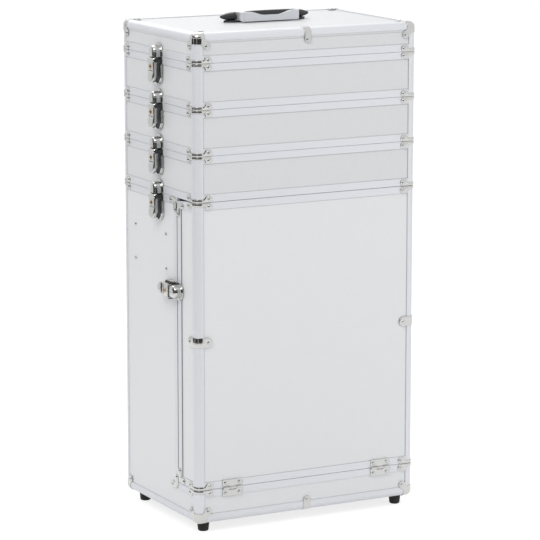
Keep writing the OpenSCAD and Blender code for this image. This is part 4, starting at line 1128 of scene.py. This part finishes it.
def handle_plate_forms(axis):
    """Pointed oval plate with a disc under each bullet-shaped boss, and the bosses' short pins.

    The plate's half width is the larger of two arcs' and the disc's; a boss is cos(90 t to the 1.2) turned
    round the pivots' axis.
    """
    length, width, thick, sunk = 138.0, 38.0, 3.0, 1.2
    disc_r, disc_x = 10.5, 55.55
    lens = (length ** 2 / 4 + width ** 2 / 4) / width
    s = length / 2 * np.sin(np.linspace(-math.pi / 2, math.pi / 2, 81))
    arcs = np.sqrt(lens ** 2 - s ** 2) - (lens - width / 2)
    w = np.maximum(np.maximum(arcs, 0), circle_at(np.abs(s) - disc_x, disc_r))
    w[[0, -1]] = 0
    on_lid = placed((0, axis[1], TOP_Z - sunk), (1, 0, 0), (0, 1, 0), (0, 0, 1))
    forms = [plate(s, -w, w, thick, 1.0, on_lid, lift=0.0)]
    boss_x, boss_end, r, tip, boss_down, oval, pin_r = 51.3, 74.5, 6.4, 0.3, 1.3, 1.25, 2.0
    boss_l = boss_end - boss_x
    t = np.linspace(0, 1, 14)[1:]
    shape = r * (tip + (1 - tip) * np.cos(math.pi / 2 * t ** 1.2))
    profile = [(0, 0), (r - 0.5, 0), (r, 0.5), *zip(shape, 0.4 + (boss_l - 0.9) * t), (0, boss_l)]
    for side in (-1, 1):
        start = (side * boss_x, axis[1], axis[2] - boss_down)
        forms.append(revolve(profile, placed(start, (0, oval, 0), (0, 0, 1), (side, 0, 0)), 32))
        pin = [(side * x, axis[1], axis[2]) for x in (boss_x - 0.7, boss_x + 1)]
        forms.append(rod(*pin, pin_r, 0.1))
    return forms


def mirrored(profile):
    """A profile's points with their heights turned over, in reverse order."""
    return [(r, -h) for r, h in profile[::-1]]


def wheel_forms(side):
    """Tyre and hub of a wheel: closed profiles turned round the axle, the tread with two grooves."""
    low, high = box_mm(f"wheel_{side}_tyre")
    middle, r, half = (low + high) / 2, (high[2] - low[2]) / 2, (high[0] - low[0]) / 2
    place = placed(middle, (0, 1, 0), (0, 0, 1), (1, 0, 0))
    hub, bore, shoulder = 0.62 * r, 3.1, 2.5
    groove = [(r, 1.6), (r - 0.7, 1.8), (r - 0.7, 2.4), (r, 2.6)]
    foot = [(hub + 0.7, half), (hub + 0.1, half - 0.6)]
    outer = [*groove, *((r - inset, h) for inset, h in round_edge(shoulder, half, 6)), *foot]
    tyre = [foot[-1], *mirrored(outer), *outer]
    dish = [(hub, half - 1), (hub - 1.2, half - 0.6), (hub - 2, half - 1.2), (hub - 2.6, 2.2),
            (bore + 3.6, 1.8), (bore + 2.6, half - 0.4), (bore + 2.2, half), (bore, half)]
    whole = [*dish, *mirrored(dish), dish[0]]
    return [revolve(tyre, place, 64)], [revolve(whole, place, 48)]


def feet_forms():
    """Rubber feet: a tapered profile with a round lower edge, turned round each foot's axis."""
    low, high = box_mm("rubber_feet")
    r, taper, edge, hollow_r, hollow_h, sunk = 9.5, 1.5, 2.2, 4, 0.5, 1.3
    lower = [(r - taper + h, inset) for inset, h in round_edge(edge, 0, 6)]
    top = high[2] - sunk
    profile = [(0, hollow_h), (hollow_r, hollow_h), (hollow_r + 0.6, 0), *lower, (r - 0.4, high[2] - 4),
               (r, top), (0, top)]
    return [revolve(profile, placed((x, y, 0), (1, 0, 0), (0, 1, 0), (0, 0, 1)), 40)
            for x in (low[0] + r, high[0] - r) for y in (low[1] + r, high[1] - r)]


# Studio


def plainly_seen(tree):
    """1 for rays from the camera, off a mirror or through glass, and 0 for those that carry the light on."""
    path = add(tree, "ShaderNodeLightPath")
    seen = add(tree, MATH, path.outputs["Is Camera Ray"], path.outputs["Is Glossy Ray"], operation="MAXIMUM")
    return add(tree, MATH, seen, path.outputs["Is Transmission Ray"], operation="MAXIMUM")


def studio_surface(name, points, faces, material):
    """A surface of the studio, linked to the scene."""
    mesh = bpy.data.meshes.new(name)
    mesh.from_pydata(points, [], faces)
    mesh.materials.append(material)
    return linked(name, mesh)


def make_camera(scene):
    """Camera where the photograph was taken from."""
    camera = linked("Camera", bpy.data.cameras.new("Camera"))
    scene.camera = camera
    camera.data.lens = CAMERA_LENS
    camera.data.sensor_width = CAMERA_SENSOR
    camera.data.clip_start, camera.data.clip_end = 0.1, 50.0
    camera.location = CAMERA_PLACE
    camera.rotation_euler = Vector(CAMERA_AIM).to_track_quat("-Z", "Y").to_euler()


def make_surroundings(scene):
    """White to look at and in reflections, and a weaker even light on the case."""
    world = bpy.data.worlds.new("White surroundings")
    scene.world = world
    world.use_nodes = True
    tree = world.node_tree
    tree.nodes.clear()
    light, white = (add(tree, "ShaderNodeBackground", Color=(1, 1, 1, 1), Strength=strength)
                    for strength in (WORLD_LIGHT, 1.0))
    mix = add(tree, "ShaderNodeMixShader", plainly_seen(tree), light, white)
    add(tree, "ShaderNodeOutputWorld", mix)


def make_lamps():
    """Large round lamps, unseen by the camera; the fill lamp isn't reflected either."""
    for name, place, width, power in LAMPS:
        lamp = bpy.data.lights.new(name, "AREA")
        lamp.shape = "DISK"
        lamp.size = width
        lamp.energy = power
        holder = linked(name, lamp)
        holder.location = place
        holder.rotation_euler = (Vector(LAMP_AIM) - Vector(place)).to_track_quat("-Z", "Y").to_euler()
        holder.visible_camera = False
        holder.visible_glossy = name != "Fill lamp"


def make_floor():
    """Pale matt floor: it keeps the case's shadow, and is lifted to white where it is plainly seen."""
    material, tree = new_material("Pale studio floor")
    seen = plainly_seen(tree)
    pale = colours().floor
    shade = add(tree, "ShaderNodeMix", data_type="RGBA", A=rgba(pale),
                B=rgba([v * FLOOR_SHADE for v in pale]), Factor=seen)
    matt = add(tree, "ShaderNodeBsdfDiffuse", shade.outputs["Result"])
    glow = add(tree, MATH, seen, FLOOR_LIFT, operation="MULTIPLY")
    lift = add(tree, "ShaderNodeEmission", (1, 1, 1, 1), glow)
    add(tree, "ShaderNodeOutputMaterial", add(tree, "ShaderNodeAddShader", matt, lift))
    corners = [(x * FLOOR_HALF, y * FLOOR_HALF, 0) for x, y in ((-1, -1), (1, -1), (1, 1), (-1, 1))]
    floor = studio_surface("Floor", corners, [(0, 1, 2, 3)], material)


def make_walls():
    """Arcs of dark and grey wall for the metal to reflect, at radius (cos a, sin a) round the case."""
    for name, radius, low, high, start, end, shade in STUDIO_WALLS:
        paint, tree = new_material(name)
        matt = add(tree, "ShaderNodeBsdfDiffuse", (shade, shade, shade, 1))
        add(tree, "ShaderNodeOutputMaterial", matt)
        turn = np.radians(np.linspace(start, end, 48))
        ring = np.stack([radius * np.cos(turn), radius * np.sin(turn)], 1)
        points = np.concatenate([np.insert(ring, 2, z, 1) for z in (low, high)])
        wall = studio_surface(name, points.tolist(), grid_faces(2, len(turn)).tolist(), paint)
        for rays in ("camera", "diffuse", "shadow", "transmission"):
            setattr(wall, f"visible_{rays}", False)


# Steps


class CASE_OT_boards(bpy.types.Operator):
    """Finish the laminated boards, lined in black inside"""

    bl_idname = "case.boards"
    bl_label = "Boards"

    def execute(self, context):
        dress("laminate", "base_panels", "door_panels", "base_fascia")
        dress("lid_laminate", "lid_panels")
        dress("tray_laminate", *(f"{t}_panels" for t in TRAYS))
        dress("lining", "base_floor")
        return {"FINISHED"}


class CASE_OT_profiles(bpy.types.Operator):
    """Finish the aluminium profiles that hold the boards"""

    bl_idname = "case.profiles"
    bl_label = "Profiles"

    def execute(self, context):
        dress("post", "base_posts")
        dress("profile", "base_top_frame", "base_edge_frame", "base_sill_frame", "door_frame", "lid_frame",
              "base_runners", *(f"{t}_frame" for t in TRAYS))
        return {"FINISHED"}


class CASE_OT_corners(bpy.types.Operator):
    """Make the corner caps, brackets, clips and plates with their rivets"""

    bl_idname = "case.corners"
    bl_label = "Corner fittings"

    def execute(self, context):
        four = [(x, y) for x in (-1, 1) for y in (-1, 1)]
        forms = [bracket(x, y, LID_Z, 1) for x, y in four] + [cap(x, y, TOP_Z, 1) for x, y in four]
        forms += [edge_clip(y, TOP_Z, 1) for y in (-1, 1)]
        make("lid_fittings", forms, "chrome", "lid", ["lid_corners"])
        above = LID_Z
        for tray in TRAYS:
            forms = [bracket(x, y, z, up) for z, up in ((JOINT_Z[tray], 1), (above, -1)) for x, y in four]
            make(f"{tray}_fittings", forms, "chrome", tray, [f"{tray}_corners"])
            above = JOINT_Z[tray]
        # How far plates and brackets keep from the door's joints, and how deep the base's rivets are sunk
        side_gap, plate_gap, bracket_gap, sunk = 1, 0.5, 0.6, 1.2
        door_y, jamb_y = DOOR_HIGH[1], DOOR_HIGH[1] + side_gap
        base = [cap(x, y, BASE_Z, -1) for x, y in four] + [edge_clip(y, BASE_Z, -1) for y in (-1, 1)]
        door = []
        for x in (-1, 1):
            wall = placed((x * HALF_W, 0, 0), (0, 1, 0), (0, 0, 1), (x, 0, 0))
            base += [
                bracket(x, 1, BASE_TOP, -1), bracket(x, -1, SILL_Z, -1),
                l_plate(x, jamb_y, BASE_TOP - plate_gap, 1, 1),
                l_plate(x, jamb_y, SILL_Z - BAND_H + plate_gap, 1, -1),
                *(rivet_at(wall, y, z, -sunk) for y in RIVET_Y for z in RIVET_Z),
            ]
            door += [
                under_swing(bracket(x, -1, BASE_TOP - bracket_gap, -1)), bracket(x, -1, DOOR_LOW[2], 1),
                corner_clip(x, CLIP_Z), l_plate(x, door_y, BASE_TOP - BAND_H / 2, -1, 1),
                l_plate(x, door_y, DOOR_LOW[2] + plate_gap, -1, -1),
            ]
        make("base_fittings", base, "chrome", "base", ["base_corners"])
        make("door_fittings", door, "chrome", "door", ["door_corners"])
        return {"FINISHED"}


class CASE_OT_latches(bpy.types.Operator):
    """Make the draw latches: levers with their keys, plates and catches"""

    bl_idname = "case.latches"
    bl_label = "Draw latches"

    def execute(self, context):
        # Each row of latches: its name, the body with its levers' plates, and the one with its catches
        rows = (("tray_1", "tray_1", "lid"), ("tray_2", "tray_2", "tray_1"), ("tray_3", "tray_3", "tray_2"),
                ("base", "base", "tray_3"), ("door", "base", "door"))
        plates = {lower: [] for _, lower, _ in rows}
        catches = {upper: [] for _, _, upper in rows}
        for row, lower, upper in rows:
            for side in SIDES:
                body = f"lever_{row}_{side}"
                place = latch_place(f"{body}_turn")
                make(f"latch_{row}_{side}", lever_forms(place), "chrome", body, [body])
                make(f"key_{row}_{side}", key_forms(place), "brass", body)
                # Black pieces: painted shade in the key's gap and slot, and in the notch across the lever
                make(f"keyway_{row}_{side}", keyway_shade_forms(place), "plastic", body)
                # A black bed, ears and pin: painted shade in the latch's recess
                make(f"latch_bed_{row}_{side}", recess_shade_forms(place), "plastic", lower)
                plates[lower] += lever_plate_forms(place)
                catches[upper] += catch_forms(place)
        for tray in TRAYS:
            forms = plates[tray] + catches[tray]
            make(f"{tray}_latch_plates", forms, "chrome", tray, [f"{tray}_latches"])
        make("base_latch_plates", plates["base"], "chrome", "base", ["base_latches"])
        make("lid_hoods", catches["lid"], "chrome", "lid", ["lid_catches"])
        make("door_hoods", catches["door"], "chrome", "door", ["door_catches"])
        return {"FINISHED"}


class CASE_OT_hinges(bpy.types.Operator):
    """Make the door's hinge leaves, and finish the pins"""

    bl_idname = "case.hinges"
    bl_label = "Hinges"

    def execute(self, context):
        places = (HINGE_LOW[0] + HINGE_HALF, HINGE_HIGH[0] - HINGE_HALF)
        gap = KNUCKLE_HALF + KNUCKLE_GAP
        upper = [hinge_leaf(x, 1, [(-KNUCKLE_HALF, KNUCKLE_HALF)], True) for x in places]
        lower = [hinge_leaf(x, -1, [(-HINGE_HALF, -gap), (gap, HINGE_HALF)], False) for x in places]
        make("hinges_upper", upper, "chrome", "door", ["hinge_leaves_upper"])
        make("hinges_lower", lower, "chrome", "base", ["hinge_leaves_lower"])
        dress("chrome", "hinge_pins", "wheel_axles")
        return {"FINISHED"}


class CASE_OT_handles(bpy.types.Operator):
    """Make the carry handle, and finish the trolley handle"""

    bl_idname = "case.handles"
    bl_label = "Handles"

    def execute(self, context):
        axis = np.array(TURNS["carry_handle_fold"]["pos_m"]) / MM
        make("handle_mount", handle_plate_forms(axis), "plastic", "lid", ["handle_plate"])
        make("handle_strap", [strap_form(axis)], "strap", "carry_handle", ["handle_bow"])
        make("handle_pad", [grip_form(axis)], "plastic", "carry_handle", ["handle_grip"])
        dress("plastic", "trolley_grip", "trolley_mounts", "wheel_brackets")
        dress("post", "trolley_sleeves", "trolley_tubes")
        dress("hub", "trolley_button")
        return {"FINISHED"}


class CASE_OT_wheels(bpy.types.Operator):
    """Make the wheels and the feet"""

    bl_idname = "case.wheels"
    bl_label = "Wheels and feet"

    def execute(self, context):
        make("feet", feet_forms(), "rubber", "base", ["rubber_feet"])
        for side in SIDES:
            tyre, hub = wheel_forms(side)
            make(f"tyre_{side}", tyre, "rubber", f"wheel_{side}", [f"wheel_{side}_tyre"])
            make(f"hub_{side}", hub, "hub", f"wheel_{side}", [f"wheel_{side}_hub"])
        return {"FINISHED"}


class CASE_OT_stage(bpy.types.Operator):
    """Make the studio: camera, lamps, white surroundings and a pale floor"""

    bl_idname = "case.stage"
    bl_label = "Studio"

    def execute(self, context):
        context.scene.view_settings.view_transform = "Standard"
        make_camera(context.scene)
        make_surroundings(context.scene)
        make_lamps()
        make_floor()
        make_walls()
        return {"FINISHED"}


STEPS = (CASE_OT_boards, CASE_OT_profiles, CASE_OT_corners, CASE_OT_latches, CASE_OT_hinges,
         CASE_OT_handles, CASE_OT_wheels, CASE_OT_stage)


class CASE_PT_panel(bpy.types.Panel):
    """Lists the steps that dress the case"""

    bl_idname = "CASE_PT_panel"
    bl_label = "Makeup case"
    bl_space_type = "VIEW_3D"
    bl_region_type = "UI"
    bl_category = "Makeup case"

    def draw(self, context):
        for group in (context.scene.case_sizes, context.scene.case_colours):
            for name in group.bl_rna.properties.keys():
                if name not in {"rna_type", "name"}:
                    self.layout.prop(group, name)
        for step in STEPS:
            self.layout.operator(step.bl_idname)


CLASSES = (CaseColours, CaseSizes, *STEPS, CASE_PT_panel)


def register():
    for cls in CLASSES:
        bpy.utils.register_class(cls)
    bpy.types.Scene.case_colours = bpy.props.PointerProperty(type=CaseColours)
    bpy.types.Scene.case_sizes = bpy.props.PointerProperty(type=CaseSizes)


def unregister():
    del bpy.types.Scene.case_sizes
    del bpy.types.Scene.case_colours
    for cls in reversed(CLASSES):
        bpy.utils.unregister_class(cls)


def main():
    register()
    for step in STEPS:
        group, name = step.bl_idname.split(".")
        getattr(getattr(bpy.ops, group), name)()


if __name__ == "__main__":
    main()
